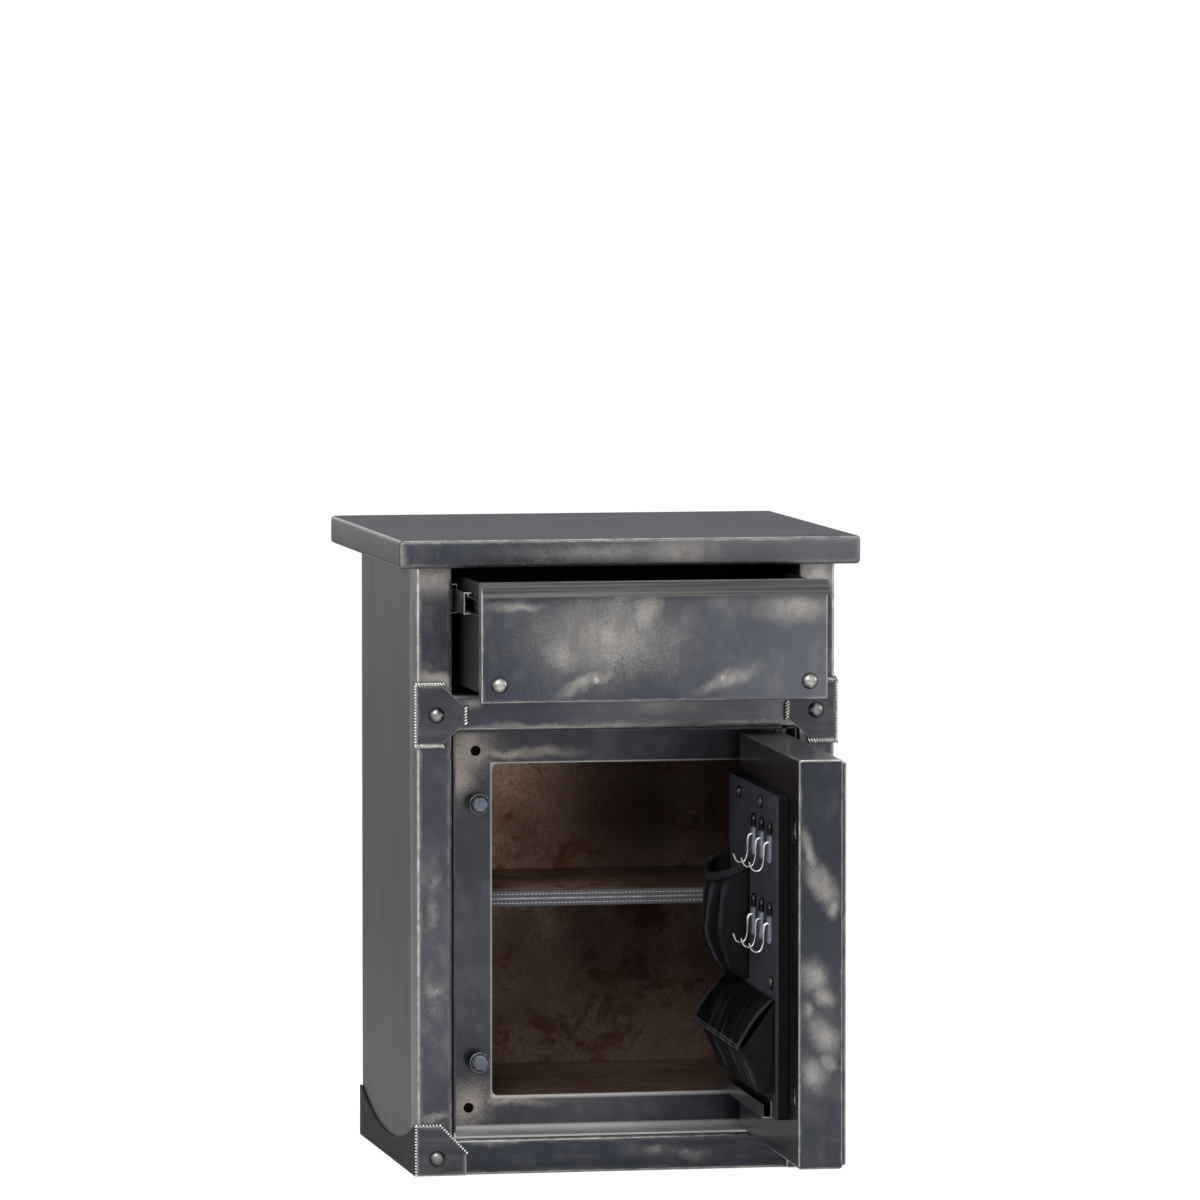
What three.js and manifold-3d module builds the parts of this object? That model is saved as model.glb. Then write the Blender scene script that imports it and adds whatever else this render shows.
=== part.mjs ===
// A bedside cabinet safe: a drawer over an inset safe door, in a welded tube frame.
// Millimetres, +Z up, the front faces -Y, origin at the middle of the cabinet's underside.
// It stands as photographed: the door swung open and the drawer pulled part way out.
import * as THREE from "three";
import { mergeVertices } from "three/addons/utils/BufferGeometryUtils.js";
import { RoundedBoxGeometry } from "three/addons/geometries/RoundedBoxGeometry.js";
import Module from "manifold-3d";

const wasm = await Module();
wasm.setup();

// How the safe stands
const doorOpenAngle = 88.1; // degrees
const drawerPulled = 178;
const handleTurned = 0; // degrees from unlocked

// Cabinet body
const bodyWidth = 508;
const bodyDepth = 406;
const overallHeight = 762;
const seam = 0.3; // between pieces that butt or lie on each other
const panelSheet = 3;
const tubeSize = 43;
const tubeCorner = 5;
const tubeWall = 2.5;
const middleRailBottom = 532;

// Top slab
const slabThickness = 34;
const slabSideOverhang = 25.4;
const slabFrontOverhang = 30;
const slabRearOverhang = 84;
const slabCorner = 5;
const slabSheet = 2.5;
const slabVent = { diameter: 8, fromSide: 104, fromEnd: 83 }; // lets the finish drain

// Door recess and jamb
const panSheet = 2.5;
const panSideGap = 2;
const panEndGap = 0.5;
const panSetback = 5.7;
const jambDepth = 71;
const jambSheet = 3;
const jambLipDepth = 9;
const mouthCorner = 7;
const mouthLeft = 151.1; // from the middle to the opening's left edge
const mouthRightMargin = 6.5; // jamb left standing at the hinge side
const mouthBottom = 86;
const mouthTop = 486.5;
const jambHoleDiameter = 12.5;
const upperJambHole = { fromLeft: 35.8, fromTop: 26.8 };
const lowerJambHole = { fromLeft: 26.9, fromBottom: 25.8 };

// Strike studs
const studFromMouth = 18.9;
const studHeights = { upper: 440, lower: 129 };
const studShank = 8;
const studNeckDiameter = 12.5;
const studHeadFlats = 15;
const studHeadHeight = 8.5;
const washerDiameter = 24;
const washerSheet = 2.5;
const studNut = 6.5;

// Inside of the safe
const safeFloorHeight = 86; // top of the raised floor
const liningSheet = 6;
const dividerAboveRail = 24; // underside of the plate between safe and drawer bay, above the middle rail's
const shelfTop = 327;
const shelfThickness = 18;
const shelfFront = 125; // behind the cabinet's front
const shelfSideGap = 1;
const shelfTrimSheet = 3.2;
const cleatWidth = 12;
const cleatSheet = 2;

// Door
const doorPivotFromEdge = 13;
const doorPivotDepth = 10;
const doorSideGap = 3.5;
const doorBottomGap = 1.5;
const doorTopGap = 4.5;
const doorFace = 1.2; // the overlay plate's face behind the cabinet's front
const doorThickness = 56.8;
const doorCorner = 4;
const doorSheet = 3;
const doorInnerSheet = 2.5;
const overlaySheet = 4;
const overlayInset = 4;
const pivotPin = 8;
const pivotClearance = 0.3;
const pivotReach = 22;
const pivotBlock = 22;
const collarDiameter = 16;
const socketDiameter = 33;

// Latch: a bar with two keyholes, driven by a crank on the handle's spindle
const latchBarWidth = 44;
const latchBarSheet = 4;
const latchBarOverhang = 34; // bar above and below its keyholes
const latchStroke = 20;
const latchPlay = 1;
const keyholeClearance = 1.5;
const crankPin = 8;
const crankSheet = 5;
const crankTurn = 90; // degrees
const spindleFromBar = 170;
const spindleDiameter = 14;
const guideWidth = 14;
const guideSheet = 2.5;
const guideFromSocket = 70;

// Handle and combination dial on the door's face
const roseDiameter = 52;
const roseThickness = 7;
const leverLength = 105;
const leverWidth = 20;
const leverThickness = 11;
const leverStandoff = 23;
const dialAboveHandle = 92;
const dialRingDiameter = 92;
const dialRingThickness = 8;
const dialDiameter = 74;
const dialThickness = 9;
const dialKnobDiameter = 34;
const dialKnobHeight = 20;
const dialFlutes = 24;
const dialSpindle = 9;
const lockCase = { width: 66, height: 84, depth: 26 };

// Drawer
const drawerSideGap = 3.8;
const drawerBottomGap = 3.6;
const drawerTopGap = 8.3;
const drawerPanDepth = 19;
const drawerSheet = 2.5;
const pullHeight = 17;
const pullReach = 12;
const pullSheet = 2.2;
const drawerBoxSheet = 1.5;
const drawerBoxDepth = 367;
const drawerBoxRaise = 7.4; // box bottom above the front's bottom
const drawerBoxDrop = 3.7; // box rim below the front's top
const drawerRivet = { fromSide: 21.5, fromBottom: 21.4 };

// Ball-bearing slides: three nested C sections on each side
const slideSpace = 12.7;
const slideLength = 350;
const slideDrop = 39; // centre below the slab
const slideSheet = 1.2;
const slideBehindPan = 1.5;
const outerMember = { height: 35, reach: 9.5, lip: 3.4 };
const middleMember = { height: 26, from: 2, reach: 11, lip: 2.2 };
const innerMember = { height: 19, from: 4.2, lip: 0 };
const cageClearance = 0.4;
const cageLength = 150;

// Gussets, rivets and skirts
const gussetSheet = 3;
const gussetProud = 1.3;
const gussetCorner = 31; // straight run from the cabinet's edge to the chamfer
const gussetLength = 60;
const gussetTip = 9;
const gussetHalfHeight = 35;
const gussetDrop = 2; // centre below the middle rail's centre
const footGussetTop = 60;
const footGussetShoulder = 27;
const footGussetShort = 28;
const rivetDiameter = 19;
const rivetHeight = 5.5;
const gussetRivet = 24.7; // from the cabinet's edge
const footRivetHeight = 21;
const skirtSheet = 3.2;
const skirtEndHeight = 62;
const skirtMiddleHeight = 27;

// Organizer on the door's inner face
const boardWidth = 338;
const boardHeight = 379;
const boardThickness = 12.5;
const boardFromHingeEdge = 3;
const boardBottom = 97;
const boardCorner = 4;
const trayDepth = 8;
const trayLip = 16;
const trayBack = 20;
const traySheet = 1.5;
const trayBelowBoard = 1;
const trayMargin = 36;
const hookColumns = [45, 100, 155]; // from the board's free edge
const hookTops = { upper: 444, lower: 349 };
const hookBase = { width: 17, height: 50, thickness: 4 };
const hookWire = 2.6;
const hookReach = 23;
const hookDrop = 34;
const hookBend = [ // along its wire: share of the reach, share of the drop
  [0, 0],
  [0.2, 0.07],
  [0.25, 0.35],
  [0.27, 0.72],
  [0.4, 0.94],
  [0.62, 1],
  [0.87, 0.9],
  [1, 0.66],
];
const pouchSheet = 3;
const flapPouchHeight = 111;
const flapPouchBottom = 126;
const flapPouchDepth = 38;
const flapPouchSideMargin = { free: 20, hinge: 3 };
const flapPouchToe = [ // its lower front: behind the pouch's front, up from its underside, and the wall's share there
  { behind: 18, up: 0, wall: [0.4, 1] },
  { behind: 12, up: 7, wall: [0.8, 0.6] },
  { behind: 3, up: 34, wall: [1, 0.1] },
  { behind: 0, up: 53, wall: [1, 0] },
];
const flapLength = 74;
const flapSheet = 4;
const flapSlope = 55; // degrees below level
const holsterWidth = 144;
const holsterFromHinge = 4;
const holsterBottom = 242;
const holsterHeight = 144; // at the board; its rim falls towards the front
const holsterDepth = 43;
const holsterRimFall = 0.6; // drop of the rim for each millimetre out from the board

// Finishes
const finish = (color, roughness, metalness) =>
  new THREE.MeshStandardMaterial({ color, roughness, metalness });
const frameSteel = finish(0x4c515b, 0.42, 0.85);
const slabSteel = finish(0x55545a, 0.45, 0.8);
const panelSteel = finish(0x55565c, 0.45, 0.8);
const darkSheet = finish(0x2f3237, 0.55, 0.7);
const blackPowder = finish(0x141416, 0.6, 0.3);
const zincSteel = finish(0xb9bcc0, 0.3, 0.95);
const brightSteel = finish(0xa9a49e, 0.35, 0.95);
const rustLining = finish(0x5a3a2c, 0.8, 0);
const blackLeather = finish(0x1b1b1d, 0.6, 0);
const blackFabric = finish(0x121214, 0.9, 0);
const clearPlastic = finish(0x2a2b2e, 0.3, 0);
const dialBlack = finish(0x16171a, 0.4, 0.4);

// Turning three.js geometry into solids, and joining and cutting them
function solid(geometry) {
  const bare = new THREE.BufferGeometry();
  bare.setAttribute("position", geometry.getAttribute("position"));
  bare.setIndex(geometry.index);
  const merged = mergeVertices(bare, 1e-4);
  const corners = merged.index.array;
  const faces = [];
  for (let i = 0; i < corners.length; i += 3) {
    const [a, b, c] = corners.slice(i, i + 3);
    if (a !== b && b !== c && c !== a) faces.push(a, b, c);
  }
  return new wasm.Manifold(
    new wasm.Mesh({
      numProp: 3,
      vertProperties: merged.attributes.position.array,
      triVerts: new Uint32Array(faces),
    }),
  );
}

function geometryOf(body) {
  const { vertProperties, triVerts } = body.getMesh();
  const geometry = new THREE.BufferGeometry();
  geometry.setAttribute("position", new THREE.BufferAttribute(vertProperties, 3));
  geometry.setIndex(new THREE.BufferAttribute(triVerts, 1));
  return geometry;
}

const join = (first, ...others) => others.reduce((all, next) => all.add(next), first);
const cut = (first, ...others) => others.reduce((all, next) => all.subtract(next), first);

function box([x0, x1], [y0, y1], [z0, z1]) {
  const geometry = new THREE.BoxGeometry(x1 - x0, y1 - y0, z1 - z0);
  return solid(geometry.translate((x0 + x1) / 2, (y0 + y1) / 2, (z0 + z1) / 2));
}

function roundedBox([x0, x1], [y0, y1], [z0, z1], radius, segments = 2) {
  const geometry = new RoundedBoxGeometry(x1 - x0, y1 - y0, z1 - z0, segments, radius);
  return solid(geometry.translate((x0 + x1) / 2, (y0 + y1) / 2, (z0 + z1) / 2));
}

// A shape drawn in the plane across an axis, as (y, z), (x, z) or (x, y), drawn out along the axis.
const X = new THREE.Vector3(1, 0, 0);
const Y = new THREE.Vector3(0, 1, 0);
const Z = new THREE.Vector3(0, 0, 1);
function prism(shape, axis, [from, to], curveSegments = 2) {
  const geometry = new THREE.ExtrudeGeometry(shape, {
    depth: to - from,
    bevelEnabled: false,
    curveSegments,
  });
  const turn = new THREE.Matrix4();
  if (axis === "x") turn.makeBasis(Y, Z, X).setPosition(from, 0, 0);
  if (axis === "y") turn.makeBasis(X, Z, Y.clone().negate()).setPosition(0, to, 0);
  if (axis === "z") turn.makeBasis(X, Y, Z).setPosition(0, 0, from);
  return solid(geometry.applyMatrix4(turn));
}

function polygon(points) {
  return new THREE.Shape(points.map(([a, b]) => new THREE.Vector2(a, b)));
}

function roundedRectangle([a0, a1], [b0, b1], radius) {
  const quarter = Math.PI / 2;
  return new THREE.Shape()
    .absarc(a1 - radius, b0 + radius, radius, -quarter, 0)
    .absarc(a1 - radius, b1 - radius, radius, 0, quarter)
    .absarc(a0 + radius, b1 - radius, radius, quarter, 2 * quarter)
    .absarc(a0 + radius, b0 + radius, radius, 2 * quarter, 3 * quarter);
}

function disc(a, b, diameter) {
  return new THREE.Shape().absarc(a, b, diameter / 2, 0, 2 * Math.PI);
}

function rod(axis, [a, b], diameter, length, sides = 16) {
  return prism(disc(a, b, diameter), axis, length, sides / 2);
}

function hexagon(a, b, flats) {
  const radius = flats / Math.sqrt(3);
  const corner = (i) => (i * Math.PI) / 3;
  const point = (i) => [a + radius * Math.cos(corner(i)), b + radius * Math.sin(corner(i))];
  return polygon([0, 1, 2, 3, 4, 5].map(point));
}

// A domed rivet head on a face that looks along -Y.
function rivetHead(x, faceY, z, rootDepth) {
  const rim = rivetDiameter / 2;
  const ball = (rim * rim + rivetHeight * rivetHeight) / (2 * rivetHeight);
  const halfAngle = Math.asin(rim / ball);
  const profile = [new THREE.Vector2(0, -rootDepth), new THREE.Vector2(rim, -rootDepth)];
  for (let i = 0; i <= 4; i++) {
    const a = halfAngle * (1 - i / 4);
    profile.push(new THREE.Vector2(ball * Math.sin(a), rivetHeight - ball * (1 - Math.cos(a))));
  }
  profile[profile.length - 1].x = 0;
  const head = new THREE.LatheGeometry(profile, 18).rotateX(Math.PI);
  return solid(head.translate(x, faceY, z));
}

const safe = new THREE.Group();
function add(group, name, body, material) {
  const mesh = new THREE.Mesh(geometryOf(body), material);
  mesh.name = name;
  group.add(mesh);
  return mesh;
}

// Places that several pieces share
const half = bodyWidth / 2;
const frontY = -bodyDepth / 2;
const backY = bodyDepth / 2;
const back = (distance) => frontY + distance; // a distance behind the cabinet's front
const slabBottom = overallHeight - slabThickness;
const stileInner = half - tubeSize;
const middleRailTop = middleRailBottom + tubeSize;
const sideInner = half - panelSheet - seam; // inside of the side panels
const sides = [
  ["left", -1],
  ["right", 1],
];
const span = (side, near, far) => (side > 0 ? [near, far] : [-far, -near]);

// Frame: tubes with their corners rounded at the front, ground flush where a panel meets them
function tube(axis, [a0, a1], [b0, b1], length) {
  const outline = roundedRectangle([a0, a1], [b0, b1], tubeCorner);
  const bore = roundedRectangle(
    [a0 + tubeWall, a1 - tubeWall],
    [b0 + tubeWall, b1 - tubeWall],
    Math.max(tubeCorner - tubeWall, 1),
  );
  outline.holes.push(bore);
  return prism(outline, axis, length);
}

const stileDepth = [frontY, back(tubeSize)];
for (const [name, side] of sides) {
  const across = span(side, stileInner, half);
  add(safe, `${name}_stile`, tube("z", across, stileDepth, [0, slabBottom - seam]), frameSteel);
}
const railSpan = [-stileInner + seam, stileInner - seam];
const middleRailSpan = [middleRailBottom, middleRailTop];
add(safe, "middle_rail", tube("x", stileDepth, middleRailSpan, railSpan), frameSteel);
add(safe, "bottom_rail", tube("x", stileDepth, [0, tubeSize], railSpan), frameSteel);

// Panels
const panelFront = back(tubeSize) + seam;
for (const [name, side] of sides) {
  const sheet = span(side, half - panelSheet, half);
  const panel = box(sheet, [panelFront, backY], [0, slabBottom - seam]);
  add(safe, `${name}_side_panel`, panel, panelSteel);
}
const backInner = backY - panelSheet;
const inside = [-sideInner, sideInner];
add(safe, "back_panel", box(inside, [backInner, backY], [0, slabBottom - seam]), panelSteel);
const floorSpan = [panelFront, backInner - seam];
add(safe, "base_panel", box(inside, floorSpan, [0, panelSheet]), darkSheet);
const dividerHeight = middleRailBottom + dividerAboveRail;
const dividerTop = dividerHeight + panelSheet;
add(safe, "divider_panel", box(inside, floorSpan, [dividerHeight, dividerTop]), darkSheet);

// Top slab: a folded tray closed underneath, with vents above the drawer bay
const slabX = [-half - slabSideOverhang, half + slabSideOverhang];
const slabY = [frontY - slabFrontOverhang, backY + slabRearOverhang];
const shrink = ([from, to], by) => [from + by, to - by];
const slabHollow = box(
  shrink(slabX, slabSheet),
  shrink(slabY, slabSheet),
  [slabBottom + slabSheet, overallHeight - slabSheet],
);
const slabVents = [-1, 1].flatMap((side) =>
  [-1, 1].map((end) => {
    const place = [side * (half - slabVent.fromSide), end * (backY - slabVent.fromEnd)];
    return rod("z", place, slabVent.diameter, [slabBottom - 1, slabBottom + slabSheet + 1], 12);
  }),
);
const slabOutside = roundedBox(slabX, slabY, [slabBottom, overallHeight], slabCorner);
add(safe, "top_slab", cut(slabOutside, slabHollow, ...slabVents), slabSteel);

// Door recess: a folded pan whose floor is the jamb, with a rolled lip round the opening
const panX = stileInner - panSideGap - panSheet;
const panZ = [tubeSize + panEndGap + panSheet, middleRailBottom - panEndGap - panSheet];
const jambFront = back(jambDepth);
const jambBack = jambFront + jambSheet;
const panWalls = cut(
  box(
    [-panX - panSheet, panX + panSheet],
    [back(panSetback), jambFront + jambSheet / 2],
    [panZ[0] - panSheet, panZ[1] + panSheet],
  ),
  box([-panX, panX], [frontY, jambBack], panZ),
);
const bulkhead = box(inside, [jambFront, jambBack], [panelSheet + seam, dividerHeight - seam]);
const mouthX = [-mouthLeft, panX - mouthRightMargin];
const mouthZ = [mouthBottom, mouthTop];
const grow = ([from, to], by) => [from - by, to + by];
const lipBody = prism(
  roundedRectangle(grow(mouthX, jambSheet), grow(mouthZ, jambSheet), mouthCorner + jambSheet),
  "y",
  [jambFront, jambBack + jambLipDepth],
);
const mouthCut = prism(
  roundedRectangle(mouthX, mouthZ, mouthCorner),
  "y",
  [jambFront - 1, jambBack + jambLipDepth + 1],
);
const jambCut = [jambFront - 1, jambBack + 1];
const studX = -mouthLeft - studFromMouth;
const upperHolePlace = [-panX + upperJambHole.fromLeft, panZ[1] - upperJambHole.fromTop];
const lowerHolePlace = [-panX + lowerJambHole.fromLeft, panZ[0] + lowerJambHole.fromBottom];
const studHoleAt = (z) => rod("y", [studX, z], studShank + 2 * seam, jambCut);
const pivotX = panX - doorSideGap - doorPivotFromEdge;
const pivotY = back(doorPivotDepth);
const pivotBore = pivotPin + 2 * pivotClearance;
add(
  safe,
  "door_frame",
  cut(
    join(panWalls, bulkhead, lipBody),
    mouthCut,
    rod("y", upperHolePlace, jambHoleDiameter, jambCut),
    rod("y", lowerHolePlace, jambHoleDiameter, jambCut),
    studHoleAt(studHeights.upper),
    studHoleAt(studHeights.lower),
    rod("z", [pivotX, pivotY], pivotBore, grow([panZ[0] - panSheet, panZ[0]], 1)),
    rod("z", [pivotX, pivotY], pivotBore, grow([panZ[1], panZ[1] + panSheet], 1)),
  ),
  frameSteel,
);

// Strike studs: a hex bolt with its washer and spacer neck, nutted behind the jamb
const doorInner = back(doorFace + doorThickness);
const latchBarBack = doorInner - doorInnerSheet - latchPlay; // the bar's face towards the jamb
const latchBarFront = latchBarBack - latchBarSheet;
const washerBack = latchBarFront - latchPlay / 2;
const washerFront = washerBack - washerSheet;
for (const level of ["upper", "lower"]) {
  const place = [studX, studHeights[level]];
  const headShape = hexagon(...place, studHeadFlats);
  const nutShape = hexagon(...place, studHeadFlats - 2);
  const stud = join(
    prism(headShape, "y", [washerFront - studHeadHeight, washerFront + seam]),
    rod("y", place, washerDiameter, [washerFront, washerBack], 28),
    rod("y", place, studNeckDiameter, [washerBack - seam, jambFront - seam]),
    rod("y", place, studShank, [washerBack, jambBack + studNut]),
    prism(nutShape, "y", [jambBack + seam, jambBack + seam + studNut]),
  );
  add(safe, `strike_stud_${level}`, stud, zincSteel);
}

// Inside of the safe: raised floor, lining and shelf, the floor and shelf on angle cleats
const safeFront = jambBack + seam;
const safeBack = backInner - seam;
const lipBack = jambBack + jambLipDepth + seam;
const floorTop = safeFloorHeight - seam;
const floorBottom = floorTop - panelSheet;
const liningZ = [panelSheet + seam, dividerHeight - seam];
const liningInner = sideInner - liningSheet;
const rearLiningFront = safeBack - liningSheet;
for (const [name, side] of sides) {
  const sheet = span(side, liningInner, sideInner);
  const lining = box(sheet, [lipBack, rearLiningFront - seam], liningZ);
  add(safe, `${name}_lining`, lining, rustLining);
}
add(safe, "back_lining", box(inside, [rearLiningFront, safeBack], liningZ), rustLining);
const shelfX = [-liningInner + shelfSideGap, liningInner - shelfSideGap];
const floorY = [lipBack, rearLiningFront - seam];
add(safe, "safe_floor", box(shelfX, floorY, [floorBottom, floorTop]), rustLining);
const shelfZ = [shelfTop - shelfThickness, shelfTop];
const shelfY = [back(shelfFront), rearLiningFront - seam];
add(safe, "shelf", box(shelfX, shelfY, shelfZ), rustLining);
const trimShape = roundedRectangle(
  [shelfY[0] - seam - shelfTrimSheet, shelfY[0] - seam],
  grow(shelfZ, 0.6),
  shelfTrimSheet / 2 - 0.1,
);
add(safe, "shelf_trim", prism(trimShape, "x", shelfX), blackLeather);
function cleat(side, edge, length, top) {
  return join(
    box(span(side, edge - cleatWidth, edge), length, [top - cleatSheet, top]),
    box(span(side, edge - cleatSheet, edge), length, [top - cleatWidth, top]),
  );
}
for (const [name, side] of sides) {
  const underShelf = cleat(side, liningInner - seam, shelfY, shelfZ[0] - seam);
  const underFloor = cleat(side, liningInner - seam, floorY, floorBottom - seam);
  add(safe, `shelf_cleat_${name}`, underShelf, darkSheet);
  add(safe, `floor_cleat_${name}`, underFloor, darkSheet);
}

// Drawer bay walls, which carry the slides
for (const [name, side] of sides) {
  const across = (near, far) => span(side, near, far);
  const top = slabBottom - seam;
  const bayWall = join(
    box(across(stileInner, stileInner + panelSheet), floorSpan, [dividerTop + seam, top]),
    box(across(stileInner, sideInner - seam), floorSpan, [dividerTop + seam, dividerTop + panelSheet]),
  );
  add(safe, `${name}_bay_wall`, bayWall, blackPowder);
}

// Side skirts with an arched top edge, and the corner gussets with their rivets
const skirtRise = skirtEndHeight - skirtMiddleHeight;
const skirtArc = (backY * backY + skirtRise * skirtRise) / (2 * skirtRise);
const skirtHalfAngle = Math.asin(backY / skirtArc);
const skirtShape = new THREE.Shape()
  .moveTo(backY, 0)
  .lineTo(backY, skirtEndHeight)
  .absarc(
    0,
    skirtMiddleHeight + skirtArc,
    skirtArc,
    skirtHalfAngle - Math.PI / 2,
    -skirtHalfAngle - Math.PI / 2,
    true,
  )
  .lineTo(frontY, 0);
for (const [name, side] of sides) {
  const sheet = span(side, half + seam, half + seam + skirtSheet);
  add(safe, `${name}_skirt`, prism(skirtShape, "x", sheet, 10), panelSteel);
}

const gussetFace = frontY - seam - gussetSheet;
const gussetEdge = half + gussetProud;
const gussetCentre = (middleRailBottom + middleRailTop) / 2 - gussetDrop;
const midGussetOutline = [
  [0, gussetHalfHeight],
  [gussetCorner, gussetHalfHeight],
  [gussetLength, gussetTip],
  [gussetLength, -gussetTip],
  [gussetCorner, -gussetHalfHeight],
  [0, -gussetHalfHeight],
].map(([run, rise]) => [run, gussetCentre + rise]);
const footGussetOutline = [
  [0, 0],
  [gussetLength, 0],
  [gussetLength, footGussetShoulder],
  [footGussetShort, footGussetTop],
  [0, footGussetTop],
];
for (const [name, side] of sides) {
  for (const [level, outline, rivetZ] of [
    ["middle", midGussetOutline, gussetCentre],
    ["foot", footGussetOutline, footRivetHeight],
  ]) {
    const placed = outline.map(([run, z]) => [side * (gussetEdge - run), z]);
    const plate = prism(polygon(placed), "y", [gussetFace, frontY - seam]);
    const rivet = rivetHead(side * (gussetEdge - gussetRivet), gussetFace, rivetZ, gussetSheet / 2);
    add(safe, `${name}_${level}_gusset`, join(plate, rivet), frameSteel);
  }
}

// Slides: each member is a C section with lips, mirrored for the other side
function slideSection(side, near, far, height, lip, open) {
  const h = height / 2;
  const t = slideSheet;
  const web = open === "inward" ? near : far;
  const toward = open === "inward" ? 1 : -1;
  const tip = open === "inward" ? far : near;
  const outline = [
    [web, -h],
    [tip, -h],
    ...(lip ? [[tip, -h + lip], [tip - toward * t, -h + lip]] : [[tip, -h + t]]),
    ...(lip ? [[tip - toward * t, -h + t]] : []),
    [web + toward * t, -h + t],
    [web + toward * t, h - t],
    ...(lip ? [[tip - toward * t, h - t]] : []),
    ...(lip ? [[tip - toward * t, h - lip], [tip, h - lip]] : [[tip, h - t]]),
    [tip, h],
    [web, h],
  ];
  return polygon(outline.map(([u, z]) => [side * (stileInner - u), slideZ + z]));
}

const slideZ = slabBottom - slideDrop;
const slideFront = back(drawerPanDepth + slideBehindPan);
const slideSpan = [slideFront, slideFront + slideLength];
const outerBore = outerMember.height / 2 - slideSheet;
const middleBore = middleMember.height / 2 - slideSheet;
const halfway = new THREE.Group();
halfway.position.y = -drawerPulled / 2;
safe.add(halfway);
const drawer = new THREE.Group();
drawer.position.y = -drawerPulled;
safe.add(drawer);

for (const [name, side] of sides) {
  const bar = (from, to, up, [near, far], length) => {
    const height = up > 0 ? [slideZ + near, slideZ + far] : [slideZ - far, slideZ - near];
    return box(span(side, stileInner - to, stileInner - from), length, height);
  };
  const outer = outerMember;
  const outerShape = slideSection(side, seam, outer.reach, outer.height, outer.lip, "inward");
  add(safe, `slide_outer_${name}`, prism(outerShape, "y", slideSpan), zincSteel);

  // The middle member carries both ball cages, in the part that never leaves its neighbours.
  const { from, reach, height, lip } = middleMember;
  const middle = prism(slideSection(side, from, reach, height, lip, "inward"), "y", slideSpan);
  const rearCage = [slideSpan[1] - cageLength, slideSpan[1]];
  const frontCage = [slideSpan[0], slideSpan[0] + cageLength];
  const cages = [1, -1].flatMap((up) => {
    const outerRace = [height / 2 - seam, outerBore - cageClearance];
    const innerRace = [innerMember.height / 2 + cageClearance, middleBore + seam];
    return [
      bar(from + slideSheet, outer.reach - 2 * slideSheet, up, outerRace, rearCage),
      bar(innerMember.from + slideSheet, reach - 2 * slideSheet, up, innerRace, frontCage),
    ];
  });
  add(halfway, `slide_middle_${name}`, join(middle, ...cages), zincSteel);

  const innerReach = slideSpace - seam;
  const innerShape = slideSection(side, innerMember.from, innerReach, innerMember.height, 0, "outward");
  add(drawer, `slide_inner_${name}`, prism(innerShape, "y", slideSpan), zincSteel);
}

// Drawer: a folded front pan with a sloping finger pull, and the box behind it
const drawerX = stileInner - drawerSideGap;
const drawerZ = [middleRailTop + drawerBottomGap, slabBottom - drawerTopGap];
const frontPan = cut(
  roundedBox([-drawerX, drawerX], [frontY, back(drawerPanDepth + drawerSheet)], drawerZ, drawerSheet, 2),
  box(
    shrink([-drawerX, drawerX], drawerSheet),
    [back(drawerSheet), back(drawerPanDepth + 2 * drawerSheet)],
    shrink(drawerZ, drawerSheet),
  ),
  box(
    grow([-drawerX, drawerX], 1),
    [back(drawerPanDepth), back(drawerPanDepth + 2 * drawerSheet)],
    grow(drawerZ, 1),
  ),
);
const pullTop = drawerZ[1];
const pullShape = polygon([
  [back(drawerSheet), pullTop],
  [frontY - pullSheet, pullTop],
  [frontY - pullReach, pullTop - pullHeight],
  [frontY - pullReach + pullSheet, pullTop - pullHeight],
  [frontY, pullTop - pullSheet],
  [back(drawerSheet), pullTop - pullSheet],
]);
const drawerRivets = [-1, 1].map((side) =>
  rivetHead(
    side * (drawerX - drawerRivet.fromSide),
    frontY,
    drawerZ[0] + drawerRivet.fromBottom,
    drawerSheet / 2,
  ),
);
const pull = prism(pullShape, "x", [-drawerX, drawerX]);
add(drawer, "drawer_front", join(frontPan, pull, ...drawerRivets), frameSteel);

const boxX = stileInner - slideSpace;
const boxZ = [drawerZ[0] + drawerBoxRaise, drawerZ[1] - drawerBoxDrop];
const boxY = [back(drawerSheet) + seam, back(drawerSheet) + seam + drawerBoxDepth];
const drawerBox = cut(
  box([-boxX, boxX], boxY, boxZ),
  box(
    shrink([-boxX, boxX], drawerBoxSheet),
    shrink(boxY, drawerBoxSheet),
    [boxZ[0] + drawerBoxSheet, boxZ[1] + 1],
  ),
);
add(drawer, "drawer_box", drawerBox, blackPowder);

// Door, built as if shut and swung about its pivots
const swing = new THREE.Group();
swing.position.set(pivotX, pivotY, 0);
swing.rotation.z = THREE.MathUtils.degToRad(doorOpenAngle);
safe.add(swing);
const door = new THREE.Group();
door.position.set(-pivotX, -pivotY, 0);
swing.add(door);

const doorX = [-panX + doorSideGap, panX - doorSideGap];
const doorZ = [panZ[0] + doorBottomGap, panZ[1] - doorTopGap];
const shellY = [back(doorFace + overlaySheet), doorInner];
const overlayY = [back(doorFace), shellY[0] - seam];
const spindleX = studX + spindleFromBar;
const handleZ = (studHeights.upper + studHeights.lower) / 2;
const dialZ = handleZ + dialAboveHandle;
const pivotBlocks = [
  [doorZ[0], doorZ[0] + pivotReach + 2 * doorSheet],
  [doorZ[1] - pivotReach - 2 * doorSheet, doorZ[1]],
].map((height) =>
  box([doorX[1] - pivotBlock, doorX[1] - doorSheet / 2], [shellY[0] + 1, shellY[0] + pivotBlock], height),
);
const pivotHole = [
  [doorZ[0] - 1, doorZ[0] + pivotReach + pivotClearance],
  [doorZ[1] - pivotReach - pivotClearance, doorZ[1] + 1],
].map((height) => rod("z", [pivotX, pivotY], pivotBore, height));

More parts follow.
